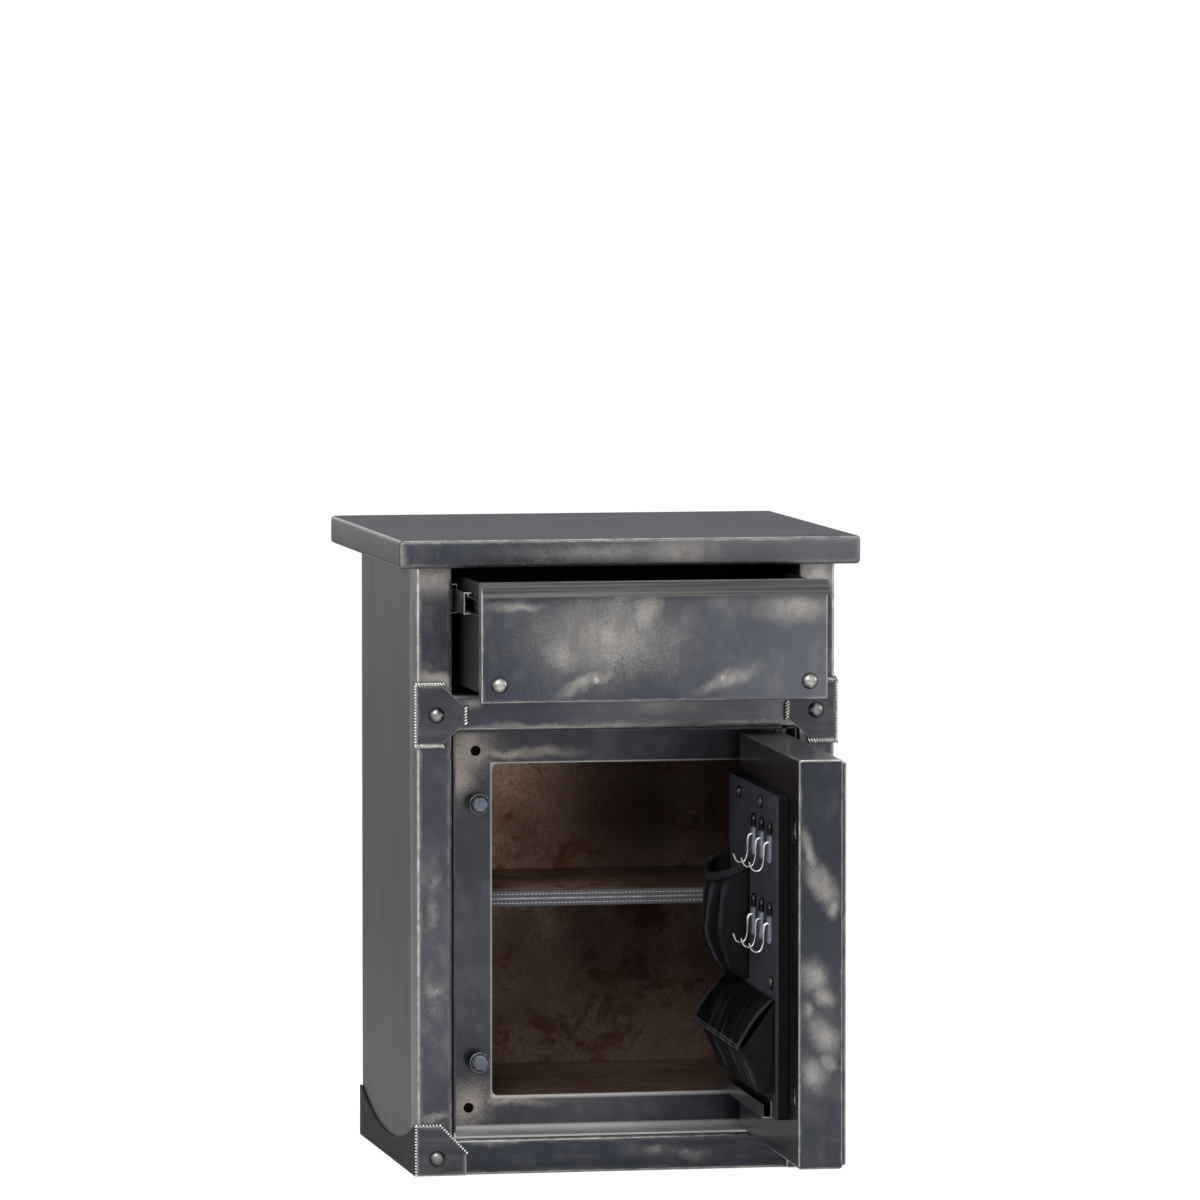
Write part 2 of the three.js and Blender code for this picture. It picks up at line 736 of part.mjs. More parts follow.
// Straps that the latch bar slides through, welded to the inner skin
const latchX = [studX - latchBarWidth / 2, studX + latchBarWidth / 2];
const guides = [studHeights.upper - guideFromSocket, studHeights.lower + guideFromSocket].map((z) => {
  const height = [z - guideWidth / 2, z + guideWidth / 2];
  const outside = grow(latchX, latchPlay + guideSheet);
  const strapY = [latchBarFront - latchPlay - guideSheet, doorInner - doorInnerSheet / 2];
  const passage = [latchBarFront - latchPlay, doorInner];
  return cut(box(outside, strapY, height), box(grow(latchX, latchPlay), passage, grow(height, 1)));
});
const shellHollow = box(
  shrink(doorX, doorSheet),
  [shellY[0] + doorSheet, doorInner - doorInnerSheet],
  shrink(doorZ, doorSheet),
);
const innerSkin = [doorInner - doorInnerSheet, doorInner];
const sockets = ["upper", "lower"].map((level) =>
  rod("y", [studX, studHeights[level]], socketDiameter, grow(innerSkin, 1), 32),
);
const skinCut = [shellY[0] - 1, shellY[0] + doorSheet + 1];
const spindleBore = rod("y", [spindleX, handleZ], spindleDiameter + 2 * seam, skinCut, 24);
const dialBore = rod("y", [spindleX, dialZ], dialSpindle + 2 * seam, skinCut, 24);
const strapInSkin = box(
  [doorX[0] + 1, doorX[1] - 1],
  [doorInner - doorInnerSheet, doorInner - doorInnerSheet / 4],
  [doorZ[0] + 1, doorZ[1] - 1],
);
const doorShell = cut(
  join(
    cut(roundedBox(doorX, shellY, doorZ, doorCorner), shellHollow),
    ...pivotBlocks,
    ...guides.map((guide) => guide.subtract(strapInSkin).add(guide.intersect(strapInSkin))),
  ),
  ...sockets,
  ...pivotHole,
  spindleBore,
  dialBore,
);
add(door, "door_shell", doorShell, frameSteel);

const overlay = cut(
  roundedBox(shrink(doorX, overlayInset), [overlayY[0], overlayY[1] + 1], shrink(doorZ, overlayInset), 1, 2),
  box(doorX, [overlayY[1], overlayY[1] + 2], doorZ),
  rod("y", [spindleX, handleZ], spindleDiameter + 2 * seam, grow(overlayY, 1), 24),
  rod("y", [spindleX, dialZ], dialSpindle + 2 * seam, grow(overlayY, 1), 24),
);
add(door, "door_overlay", overlay, frameSteel);

// Pivot pins: each stands in the recess pan with a collar that the door runs on
const collarBottom = [panZ[0] + seam, doorZ[0] - seam];
const collarTop = [doorZ[1] + seam, panZ[1] - seam];
const pinAt = (height) => rod("z", [pivotX, pivotY], pivotPin, height);
const collarAt = (height) => rod("z", [pivotX, pivotY], collarDiameter, height, 24);
const lowerPin = join(pinAt([tubeSize + seam, doorZ[0] + pivotReach]), collarAt(collarBottom));
const upperPin = join(pinAt([doorZ[1] - pivotReach, middleRailBottom - seam]), collarAt(collarTop));
add(safe, "pivot_pin_lower", lowerPin, brightSteel);
add(safe, "pivot_pin_upper", upperPin, brightSteel);

// Latch bar: keyholes pass the washers when raised and hold them when it drops
const crankRadius = latchStroke / 2 / Math.sin(THREE.MathUtils.degToRad(crankTurn / 2));
const barZ = [studHeights.lower - latchBarOverhang, studHeights.upper + latchStroke + latchBarOverhang];
const crankSag = crankRadius * (1 - Math.cos(THREE.MathUtils.degToRad(crankTurn / 2)));
const slotX = [
  spindleX - crankRadius - crankPin / 2 - seam,
  spindleX - crankRadius + crankSag + crankPin / 2 + seam,
];
const slotHeight = crankPin + 0.12 * crankRadius;
const tabX = [latchX[1] - 1, slotX[1] + crankPin / 2];
const raisedMiddle = handleZ + latchStroke / 2; // height of the crank pin when unlocked
const keyhole = (z) => {
  const entry = washerDiameter + 2 * keyholeClearance;
  const neck = studNeckDiameter / 2 + keyholeClearance;
  const through = grow([latchBarFront, latchBarBack], 1);
  return join(
    rod("y", [studX, z], entry, through, 28),
    prism(
      roundedRectangle([studX - neck, studX + neck], [z, z + latchStroke + neck], neck - 0.2),
      "y",
      through,
    ),
  );
};
const latchBar = cut(
  join(
    prism(roundedRectangle(latchX, barZ, 6), "y", [latchBarFront, latchBarBack]),
    box(tabX, [latchBarFront, latchBarBack], grow([raisedMiddle, raisedMiddle], slotHeight / 2 + 7)),
  ),
  keyhole(studHeights.upper),
  keyhole(studHeights.lower),
  box(slotX, grow([latchBarFront, latchBarBack], 1), grow([raisedMiddle, raisedMiddle], slotHeight / 2)),
);
add(door, "latch_bar", latchBar, zincSteel);

// Handle: lever and rose outside; spindle and crank inside
const turn = new THREE.Group();
turn.position.set(spindleX, 0, handleZ);
turn.rotation.y = THREE.MathUtils.degToRad(-handleTurned);
door.add(turn);
const roseY = [overlayY[0] - seam - roseThickness, overlayY[0] - seam];
const leverY = [overlayY[0] - leverStandoff - leverThickness, overlayY[0] - leverStandoff];
const crankY = [latchBarFront - latchPlay - crankSheet, latchBarFront - latchPlay];
const leverShape = new THREE.Shape()
  .moveTo(-leverWidth / 2, 0)
  .lineTo(-0.36 * leverWidth, -leverLength + 0.36 * leverWidth)
  .absarc(0, -leverLength + 0.36 * leverWidth, 0.36 * leverWidth, Math.PI, 2 * Math.PI)
  .lineTo(leverWidth / 2, 0)
  .absarc(0, 0, leverWidth / 2, 0, Math.PI);
const leverBody = join(
  prism(leverShape, "y", leverY, 5),
  rod("y", [0, 0], leverWidth, [leverY[0], roseY[0] + 1], 24),
  rod("y", [0, 0], roseDiameter, roseY, 32),
  rod("y", [0, 0], spindleDiameter, [roseY[0], crankY[0] - seam], 24),
);
add(turn, "handle", leverBody, dialBlack);
const half45 = THREE.MathUtils.degToRad(crankTurn / 2);
const pinPlace = [-crankRadius * Math.cos(half45), crankRadius * Math.sin(half45)];
const crank = join(
  rod("y", [0, 0], spindleDiameter + 8, crankY, 24),
  rod("y", pinPlace, crankPin + 6, crankY, 20),
  rod("y", pinPlace, crankPin, [crankY[0], latchBarBack - seam], 20),
);
add(turn, "latch_crank", crank, zincSteel);

// Combination lock: ring, dial with a fluted knob, and the case behind the door's skin
const ringY = [overlayY[0] - seam - dialRingThickness, overlayY[0] - seam];
const dialPlace = [spindleX, dialZ];
const ring = cut(
  rod("y", dialPlace, dialRingDiameter, ringY, 32),
  rod("y", dialPlace, dialDiameter + 2, [ringY[0] - 1, ringY[1] - 2.5], 32),
  rod("y", dialPlace, dialSpindle + 2 * seam, grow(ringY, 1), 24),
);
add(door, "dial_ring", ring, dialBlack);
const dialY = [ringY[1] - 2.5 - seam - dialThickness, ringY[1] - 2.5 - seam];
const fluteDepth = 1.1;
const fluted = (i) => {
  const radius = dialKnobDiameter / 2 - (i % 2) * fluteDepth;
  const a = (i * Math.PI) / dialFlutes;
  return [dialPlace[0] + radius * Math.cos(a), dialPlace[1] + radius * Math.sin(a)];
};
const knobShape = polygon(Array.from({ length: 2 * dialFlutes }, (_, i) => fluted(i)));
const caseY = [shellY[0] + doorSheet + seam, shellY[0] + doorSheet + seam + lockCase.depth];
const dialBody = join(
  rod("y", dialPlace, dialDiameter, dialY, 32),
  prism(knobShape, "y", [dialY[0] - dialKnobHeight, dialY[0] + 1]),
  rod("y", dialPlace, dialSpindle, [dialY[0], caseY[0] + lockCase.depth / 2], 24),
);
add(door, "combination_dial", dialBody, dialBlack);
const caseBody = cut(
  box(
    grow([spindleX, spindleX], lockCase.width / 2),
    caseY,
    grow([dialZ, dialZ], lockCase.height / 2),
  ),
  rod("y", dialPlace, dialSpindle + 2 * seam, [caseY[0] - 1, caseY[0] + lockCase.depth / 2 + seam], 24),
);
add(door, "lock_case", caseBody, zincSteel);

// Organizer: board, J-shaped tray along its bottom edge, key hooks, pouches
const boardX = [doorX[1] - boardFromHingeEdge - boardWidth, doorX[1] - boardFromHingeEdge];
const boardZ = [boardBottom, boardBottom + boardHeight];
const boardY = [doorInner + seam, doorInner + seam + boardThickness];
const boardBody = prism(roundedRectangle(boardX, boardZ, boardCorner), "y", boardY);
add(door, "organizer_board", boardBody, blackPowder);

const onBoard = boardY[1] + seam; // the surface that everything on the board lies against
const trayZ = boardBottom - trayBelowBoard;
const trayShape = polygon([
  [onBoard, trayZ],
  [onBoard + trayDepth + 2 * traySheet, trayZ],
  [onBoard + trayDepth + 2 * traySheet, trayZ + trayLip],
  [onBoard + trayDepth + traySheet, trayZ + trayLip],
  [onBoard + trayDepth + traySheet, trayZ + traySheet],
  [onBoard + traySheet, trayZ + traySheet],
  [onBoard + traySheet, trayZ + trayBack],
  [onBoard, trayZ + trayBack],
]);
add(
  door,
  "organizer_tray",
  prism(trayShape, "x", [boardX[0] + trayMargin, boardX[1] - 1]),
  darkSheet,
);

// A key hook: a small base plate with a bent wire that leaves its foot, drops and turns up again.
function keyHook(x, top) {
  const base = prism(
    roundedRectangle(
      [x - hookBase.width / 2, x + hookBase.width / 2],
      [top - hookBase.height, top],
      hookBase.width / 2 - 0.5,
    ),
    "y",
    [onBoard, onBoard + hookBase.thickness],
  );
  const root = onBoard + hookBase.thickness - 1;
  const bend = (out, down) => new THREE.Vector3(x, root + out, top - hookBase.height / 2 - down);
  const wire = new THREE.CatmullRomCurve3(
    hookBend.map(([out, down]) => bend(hookReach * out, hookDrop * down)),
  );
  const geometry = new THREE.ExtrudeGeometry(disc(0, 0, hookWire), {
    steps: 16,
    curveSegments: 4,
    extrudePath: wire,
  });
  return join(base, solid(geometry));
}
for (const [row, top] of Object.entries(hookTops)) {
  hookColumns.forEach((column, i) => {
    add(door, `key_hook_${row}_${i + 1}`, keyHook(boardX[0] + column, top), clearPlastic);
  });
}

// Flap pouch: a wide pocket whose top slopes with the flap that covers it
const flapAngle = THREE.MathUtils.degToRad(flapSlope);
const flapHingeY = onBoard + flapSheet / 2 + seam;
const flapHingeZ = flapPouchBottom + flapPouchHeight;
const down = (along, off) => [
  flapHingeY + along * Math.cos(flapAngle) + off * Math.sin(flapAngle),
  flapHingeZ - along * Math.sin(flapAngle) + off * Math.cos(flapAngle),
];
const pouchX = [boardX[0] + flapPouchSideMargin.free, boardX[1] - flapPouchSideMargin.hinge];
const frontOfPouch = onBoard + flapPouchDepth;
const underFlap = -flapSheet / 2 - 2 * seam;
const slopeZ = (y) => {
  const [y0, z0] = down(0, underFlap);
  return z0 - (y - y0) * Math.tan(flapAngle);
};
const pouchProfile = (inset, topExtra) =>
  polygon([
    [onBoard + inset, flapPouchBottom + inset],
    ...flapPouchToe.map(({ behind, up, wall }) => [
      frontOfPouch - behind - inset * wall[0],
      flapPouchBottom + up + inset * wall[1],
    ]),
    [frontOfPouch - inset, slopeZ(frontOfPouch - inset) + topExtra],
    [onBoard + inset, slopeZ(onBoard + inset) + topExtra],
  ]);
const pouchBody = cut(
  prism(pouchProfile(0, 0), "x", pouchX),
  prism(pouchProfile(pouchSheet, 12), "x", shrink(pouchX, pouchSheet)),
);
add(door, "flap_pouch", pouchBody, blackFabric);
const flapOutline = [
  down(0, -flapSheet / 2),
  down(flapLength, -flapSheet / 2),
  down(flapLength, flapSheet / 2),
  down(0, flapSheet / 2),
];
const flapHem = rod("x", [flapHingeY, flapHingeZ], flapSheet, pouchX, 12);
add(door, "pouch_flap", join(prism(polygon(flapOutline), "x", pouchX), flapHem), blackFabric);

// Holster pouch: an open cup that bulges from the board and narrows towards its foot,
// its rim cut on a slope
const bulge = (a) => Math.max(Math.sin(a), 0) ** 0.7;
function cup(inset) {
  const right = boardX[1] - holsterFromHinge - inset;
  const left = right - holsterWidth + 2 * inset;
  const rings = 6;
  const points = 14;
  const vertices = [];
  for (let r = 0; r <= rings; r++) {
    const t = r / rings;
    const z = holsterBottom + inset + (holsterHeight - inset + (inset ? 2 : 0)) * t;
    const fill = Math.sin((0.22 + 0.5 * t) * Math.PI);
    const narrow = (1 - t) * (1 - t) * 0.22 * holsterWidth;
    const depth = (holsterDepth - inset) * fill;
    for (let p = 0; p < points; p++) {
      const a = (Math.PI * p) / (points - 1);
      const across = (right + left) / 2 - Math.cos(a) * ((right - left) / 2 - narrow);
      vertices.push(new THREE.Vector3(across, onBoard + inset + bulge(a) * (depth - inset), z));
    }
  }
  return loft(vertices, points);
}

// Joins rings of points into one closed body with flat ends.
function loft(vertices, count) {
  const rings = vertices.length / count;
  const faces = [];
  for (let r = 0; r + 1 < rings; r++) {
    for (let p = 0; p < count; p++) {
      const a = r * count + p;
      const b = r * count + ((p + 1) % count);
      faces.push(a, a + count, b, b, a + count, b + count);
    }
  }
  const top = (rings - 1) * count;
  for (let p = 1; p + 1 < count; p++) {
    faces.push(0, p, p + 1);
    faces.push(top, top + p + 1, top + p);
  }
  const geometry = new THREE.BufferGeometry().setFromPoints(vertices);
  return solid(geometry.setIndex(faces));
}
const rimSteepness = Math.hypot(holsterRimFall, 1);
const rimHeight = holsterBottom + holsterHeight + holsterRimFall * onBoard;
const holster = cut(cup(0), cup(pouchSheet)).trimByPlane(
  [0, -holsterRimFall / rimSteepness, -1 / rimSteepness],
  -rimHeight / rimSteepness,
);
add(door, "holster_pouch", holster, blackFabric);

export default safe;
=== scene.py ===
import math

import bmesh
import bpy
from mathutils import Euler, Matrix, Vector, noise


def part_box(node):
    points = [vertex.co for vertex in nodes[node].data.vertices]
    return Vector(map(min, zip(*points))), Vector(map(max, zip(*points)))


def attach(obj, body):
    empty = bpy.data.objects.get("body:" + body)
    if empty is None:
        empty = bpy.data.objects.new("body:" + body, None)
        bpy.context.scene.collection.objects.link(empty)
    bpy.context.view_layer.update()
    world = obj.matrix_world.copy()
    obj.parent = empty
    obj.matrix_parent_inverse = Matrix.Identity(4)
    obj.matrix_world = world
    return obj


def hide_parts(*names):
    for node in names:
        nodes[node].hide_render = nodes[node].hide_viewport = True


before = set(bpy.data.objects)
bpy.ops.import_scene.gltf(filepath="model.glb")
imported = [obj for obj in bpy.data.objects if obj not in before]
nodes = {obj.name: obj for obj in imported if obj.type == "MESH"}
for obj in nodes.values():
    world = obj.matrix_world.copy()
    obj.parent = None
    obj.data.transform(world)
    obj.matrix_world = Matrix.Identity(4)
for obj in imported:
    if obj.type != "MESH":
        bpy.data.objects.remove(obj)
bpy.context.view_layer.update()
scene = bpy.context.scene
print("frame loaded:", len(nodes), "nodes")

# Camera, light and ground

studio = {
    "camera": {
        "lens": 270.7,
        "place": (-2.0374, -10.7479, 1.4174),
        "tilt": 0.068,
        "turn": -0.1879,
        "sensor": 36,
        "farthest": 60,
    },
    "seen": 1.0,  # the white backdrop, looked at or mirrored in metal and glass
    "fill": 0.34,  # the same backdrop as light on matt surfaces
    "ground": {"reach": 14, "drop": 0.0005, "tint": (0.82, 0.82, 0.83), "glow": 0.74},
    "lamps": {
        "front": {"at": (-0.9, -2.6, 1.9), "aim": (0.0, -0.2, 0.35), "size": (1.6, 1.2), "power": 40},
        "inner": {
            "at": (0.62, -3.1, 0.46),
            "aim": (-0.1, 0.0, 0.38),
            "size": (0.4, 0.3),
            "power": 22,
            "mirrored": False,
        },
        "left": {"at": (-2.3, -0.7, 1.1), "aim": (0.0, -0.1, 0.35), "size": (1.0, 1.6), "power": 9},
        "top": {"at": (0.1, -0.3, 2.6), "aim": (0.0, -0.1, 0.4), "size": (1.4, 1.2), "power": 14},
        "right": {"at": (2.4, -1.6, 1.2), "aim": (0.1, -0.2, 0.35), "size": (0.9, 1.4), "power": 12},
    },
}


def newObject(name, data):
    obj = bpy.data.objects.new(name, data)
    scene.collection.objects.link(obj)
    return obj


def addNode(tree, kind, inputs=None, **settings):
    node = tree.nodes.new(kind)
    for key, value in settings.items():
        setattr(node, key, value)
    for key, value in (inputs or {}).items():
        socket = node.inputs[key]
        if isinstance(value, bpy.types.NodeSocket):
            tree.links.new(value, socket)
        else:
            socket.default_value = value
    return node


def setUpStudio():
    view = studio["camera"]
    camera = newObject("camera", bpy.data.cameras.new("camera"))
    camera.data.lens = view["lens"]
    camera.data.sensor_width = view["sensor"]
    camera.data.clip_end = view["farthest"]
    camera.location = view["place"]
    camera.rotation_euler = Euler((math.pi / 2 - view["tilt"], 0, view["turn"]))
    scene.camera = camera

    world = bpy.data.worlds.new("studio")
    scene.world = world
    world.use_nodes = True
    tree = world.node_tree
    tree.nodes.clear()
    path = addNode(tree, "ShaderNodeLightPath").outputs
    fill = addNode(tree, "ShaderNodeBackground", {"Color": (1, 1, 1, 1), "Strength": studio["fill"]})
    seen = addNode(tree, "ShaderNodeBackground", {"Color": (1, 1, 1, 1), "Strength": studio["seen"]})
    shiny = addNode(
        tree,
        "ShaderNodeMath",
        {0: path["Is Glossy Ray"], 1: path["Is Transmission Ray"]},
        operation="MAXIMUM",
    )
    direct = addNode(
        tree, "ShaderNodeMath", {0: path["Is Camera Ray"], 1: shiny.outputs[0]}, operation="MAXIMUM"
    )
    around = addNode(
        tree, "ShaderNodeMixShader", {0: direct.outputs[0], 1: fill.outputs[0], 2: seen.outputs[0]}
    )
    addNode(tree, "ShaderNodeOutputWorld", {"Surface": around.outputs[0]})

    for name, lamp in studio["lamps"].items():
        data = bpy.data.lights.new(name + "Lamp", "AREA")
        data.shape = "RECTANGLE"
        data.size, data.size_y = lamp["size"]
        data.energy = lamp["power"]
        light = newObject(name + "Lamp", data)
        light.location = lamp["at"]
        light.visible_glossy = lamp.get("mirrored", True)
        aim = Vector(lamp["aim"]) - Vector(lamp["at"])
        light.rotation_euler = aim.to_track_quat("-Z", "Y").to_euler()

    scene.view_settings.view_transform = "Standard"


def setUpGround():
    look = studio["ground"]
    reach, low = look["reach"], -look["drop"]
    mesh = bpy.data.meshes.new("ground")
    corners = [(-reach, -reach, low), (reach, -reach, low), (reach, reach, low), (-reach, reach, low)]
    mesh.from_pydata(corners, [], [(0, 1, 2, 3)])
    ground = newObject("ground", mesh)
    material = bpy.data.materials.new("paleGround")
    material.use_nodes = True
    tree = material.node_tree
    tree.nodes.clear()
    path = addNode(tree, "ShaderNodeLightPath").outputs
    matte = addNode(tree, "ShaderNodeBsdfDiffuse", {"Color": (*look["tint"], 1)})
    lit = addNode(tree, "ShaderNodeEmission", {"Color": (1, 1, 1, 1), "Strength": look["glow"]})
    both = addNode(tree, "ShaderNodeAddShader", {0: matte.outputs[0], 1: lit.outputs[0]})
    seen = addNode(
        tree, "ShaderNodeMixShader", {0: path["Is Camera Ray"], 1: matte.outputs[0], 2: both.outputs[0]}
    )
    addNode(tree, "ShaderNodeOutputMaterial", {"Surface": seen.outputs[0]})
    mesh.materials.append(material)


setUpStudio()
setUpGround()
print("studio ready")

# Places: what the door carries is placed as if it were shut, in millimetres, and turned open with it

doorPivot = Vector((0.190, -0.193, 0))  # metres
doorAngle = math.radians(88.1)
doorTurn = Matrix.Translation(doorPivot) @ Matrix.Rotation(doorAngle, 4, "Z") @ Matrix.Translation(-doorPivot)
frontY = -203.0  # cabinet's front plane, mm


def mm(*values):  # one length, or a point, in metres
    return Vector(values) / 1000 if len(values) > 1 else values[0] / 1000


def onDoor(x, depth, z):
    return doorTurn @ mm(x, frontY + depth, z)


# Small tools for node trees


def calc(tree, operation, a, b=0.0, clamp=False):
    return addNode(tree, "ShaderNodeMath", {0: a, 1: b}, operation=operation, use_clamp=clamp).outputs[0]


def sway(tree, value, reach):  # a noise value turned to swing about zero
    return calc(tree, "MULTIPLY", calc(tree, "SUBTRACT", value, 0.5), reach)


def weigh(tree, *parts):  # the sum of values, each times its share
    total = None
    for value, share in parts:
        part = calc(tree, "MULTIPLY", value, share)
        total = part if total is None else calc(tree, "ADD", total, part)
    return total


def axes(tree, place):
    return addNode(tree, "ShaderNodeSeparateXYZ", {0: place}).outputs


def vector(tree, operation, a, b=None):
    inputs = {0: a} if b is None else {0: a, 1: b}
    node = addNode(tree, "ShaderNodeVectorMath", inputs, operation=operation)
    return node.outputs["Value" if operation in ("LENGTH", "DOT_PRODUCT") else "Vector"]


def remap(tree, value, low, high, toLow, toHigh, smooth=True):
    inputs = {"Value": value, "From Min": low, "From Max": high, "To Min": toLow, "To Max": toHigh}
    kind = "SMOOTHSTEP" if smooth else "LINEAR"
    return addNode(tree, "ShaderNodeMapRange", inputs, interpolation_type=kind).outputs[0]


def satinOf(tree, value, low, high):  # a roughness that follows a noise value
    return remap(tree, value, 0.3, 0.7, low, high, smooth=False)


def clouds(tree, place, scale, detail=4.0, rough=0.55, warp=0.0):
    inputs = {"Vector": place, "Scale": scale, "Detail": detail, "Roughness": rough, "Distortion": warp}
    return addNode(tree, "ShaderNodeTexNoise", inputs).outputs[0]


def blendColor(tree, share, a, b):
    node = addNode(tree, "ShaderNodeMix", data_type="RGBA", blend_type="MIX", clamp_factor=True)
    for socket, value in zip((node.inputs[0], node.inputs[6], node.inputs[7]), (share, a, b)):
        if isinstance(value, bpy.types.NodeSocket):
            tree.links.new(value, socket)
        else:
            socket.default_value = value
    return node.outputs[2]


def stretch(tree, place, scale, turn=(0, 0, 0)):
    inputs = {"Vector": place, "Rotation": turn, "Scale": scale}
    return addNode(tree, "ShaderNodeMapping", inputs).outputs[0]


def tone(red, green, blue):
    # A colour as seen on screen, 0 to 255, as the linear value that a shader takes
    parts = [v / 255 / 12.92 if v <= 10 else ((v / 255 + 0.055) / 1.055) ** 2.4 for v in (red, green, blue)]
    return (*parts, 1)


def newMaterial(name, **fixed):
    material = bpy.data.materials.new(name)
    material.use_nodes = True
    tree = material.node_tree
    tree.nodes.clear()
    shader = tree.nodes.new("ShaderNodeBsdfPrincipled")
    for key, value in fixed.items():
        shader.inputs[key.replace("_", " ")].default_value = value
    addNode(tree, "ShaderNodeOutputMaterial", {"Surface": shader.outputs[0]})
    return material, tree, shader


def plug(tree, shader, **sources):
    for key, value in sources.items():
        tree.links.new(value, shader.inputs[key.replace("_", " ")])


def bump(tree, height, distance):
    inputs = {"Height": height, "Distance": distance, "Strength": 1.0}
    return addNode(tree, "ShaderNodeBump", inputs).outputs[0]


def homeCoords(tree, body="cabinet"):  # place in the cabinet, or in the door as if it were shut
    place = addNode(tree, "ShaderNodeTexCoord").outputs["Object"]
    if body != "door":
        return place
    inputs = {"Vector": place, "Location": doorPivot, "Rotation": (0, 0, doorAngle)}
    shut = addNode(tree, "ShaderNodeMapping", inputs, vector_type="TEXTURE").outputs[0]
    return vector(tree, "ADD", shut, tuple(doorPivot))


# Steel, burnished where hands and rags reach it, with a painted highlight along its corners and round
# openings

steelLook = {
    "blue": [(54, 58, 66), (66, 70, 79)],
    "worn": [(124, 121, 118), (174, 169, 163)],
    "bare": (200, 197, 193),  # thin line along a corner: worn bare steel with a painted highlight; also the painted highlight round an opening
    "pits": (28, 30, 35),
    "metallic": 0.82,
    "roughness": 0.33,
    "specular": 0.5,
    "coat": 0.22,
    "coatRoughness": 0.1,
    "mottle": 0.18,  # how far the even parts are rubbed
    "wearWidth": 7.0,  # band along a worn edge, mm
    "edgeShare": 0.9,
    "patches": (),
    "warp": 0.04,  # how far a patch's outline wanders
    "grains": {  # scale, detail, roughness and warp of each noise
        "broad": (6.0, 3.0, 0.5, 0.3),
        "medium": (38.0, 6.0, 0.62, 0.25),
        "fine": (640.0, 3.0, 0.62),
        "speck": (1700.0, 2.0, 0.5),
    },
    # Rubbing marks: how fast they change along x, y and z, and their tilt
    "swipe": {"scale": (11, 11, 62), "turn": 20},
}


def edgeDistance(tree, place, low, high):  # how far a point is from the nearest edge of a box
    middle = (Vector(low) + Vector(high)) / 2
    halfSize = (Vector(high) - Vector(low)) / 2
    local = vector(tree, "ABSOLUTE", vector(tree, "SUBTRACT", place, tuple(middle / 1000)))
    inside = vector(tree, "SUBTRACT", tuple(halfSize / 1000), local)
    x, y, z = axes(tree, inside)
    lesser = calc(tree, "MINIMUM", x, y)
    greater = calc(tree, "MAXIMUM", x, y)
    return calc(tree, "MAXIMUM", lesser, calc(tree, "MINIMUM", greater, z))


def patchField(tree, place, patches, warp):  # under 1 inside the nearest rubbed patch
    grain = {"Vector": place, "Scale": 0.6 / warp, "Detail": 4.0, "Roughness": 0.6}
    wander = addNode(tree, "ShaderNodeTexNoise", grain).outputs["Color"]
    shove = vector(tree, "MULTIPLY", vector(tree, "SUBTRACT", wander, (0.5, 0.5, 0.5)), (warp, warp, warp))
    moved = vector(tree, "ADD", place, shove)
    nearest = None
    for patch in patches:
        inputs = {
            "Vector": moved,
            "Location": mm(*patch["at"]),
            "Scale": mm(*patch["size"]),
            "Rotation": (math.radians(patch.get("lean", 0)), math.radians(patch.get("tilt", 0)), 0),
        }
        local = addNode(tree, "ShaderNodeMapping", inputs, vector_type="TEXTURE").outputs[0]
        away = vector(tree, "LENGTH", local)
        away = calc(tree, "ADD", away, patch.get("faint", 0.0))
        nearest = away if nearest is None else calc(tree, "MINIMUM", nearest, away)
    return nearest


def rimOf(tree, place, mouth):
    # Painted highlight: a bright line round an opening, widest along its sill, and one at the bend near its
    # foot
    (x0, z0), (x1, z1) = (mm(low, high) for low, high in (mouth["low"], mouth["high"]))
    middle, half = Vector((x0 + x1, 0, z0 + z1)) / 2, Vector((x1 - x0, 0, z1 - z0)) / 2
    away = vector(tree, "ABSOLUTE", vector(tree, "SUBTRACT", place, tuple(middle)))
    aside, _, above = axes(tree, vector(tree, "SUBTRACT", away, tuple(half)))
    height = axes(tree, place)[2]
    line = remap(tree, calc(tree, "MAXIMUM", aside, above), 0.0007, 0.0026, 0.6, 0.0)
    overSill = remap(tree, height, z0 - 0.006, z0 - 0.0015, 0.0, 0.95)
    underSill = remap(tree, height, z0 + 0.001, z0 + 0.003, 1.0, 0.0)
    sill = calc(
        tree,
        "MULTIPLY",
        calc(tree, "MULTIPLY", overSill, underSill),
        remap(tree, aside, -0.002, 0.004, 1.0, 0.0),
    )
    foot = mm(mouth["bend"])
    bend = remap(tree, height, foot, foot + 0.0035, 0.95, 0.0)
    return calc(tree, "MAXIMUM", calc(tree, "MAXIMUM", line, sill), bend)


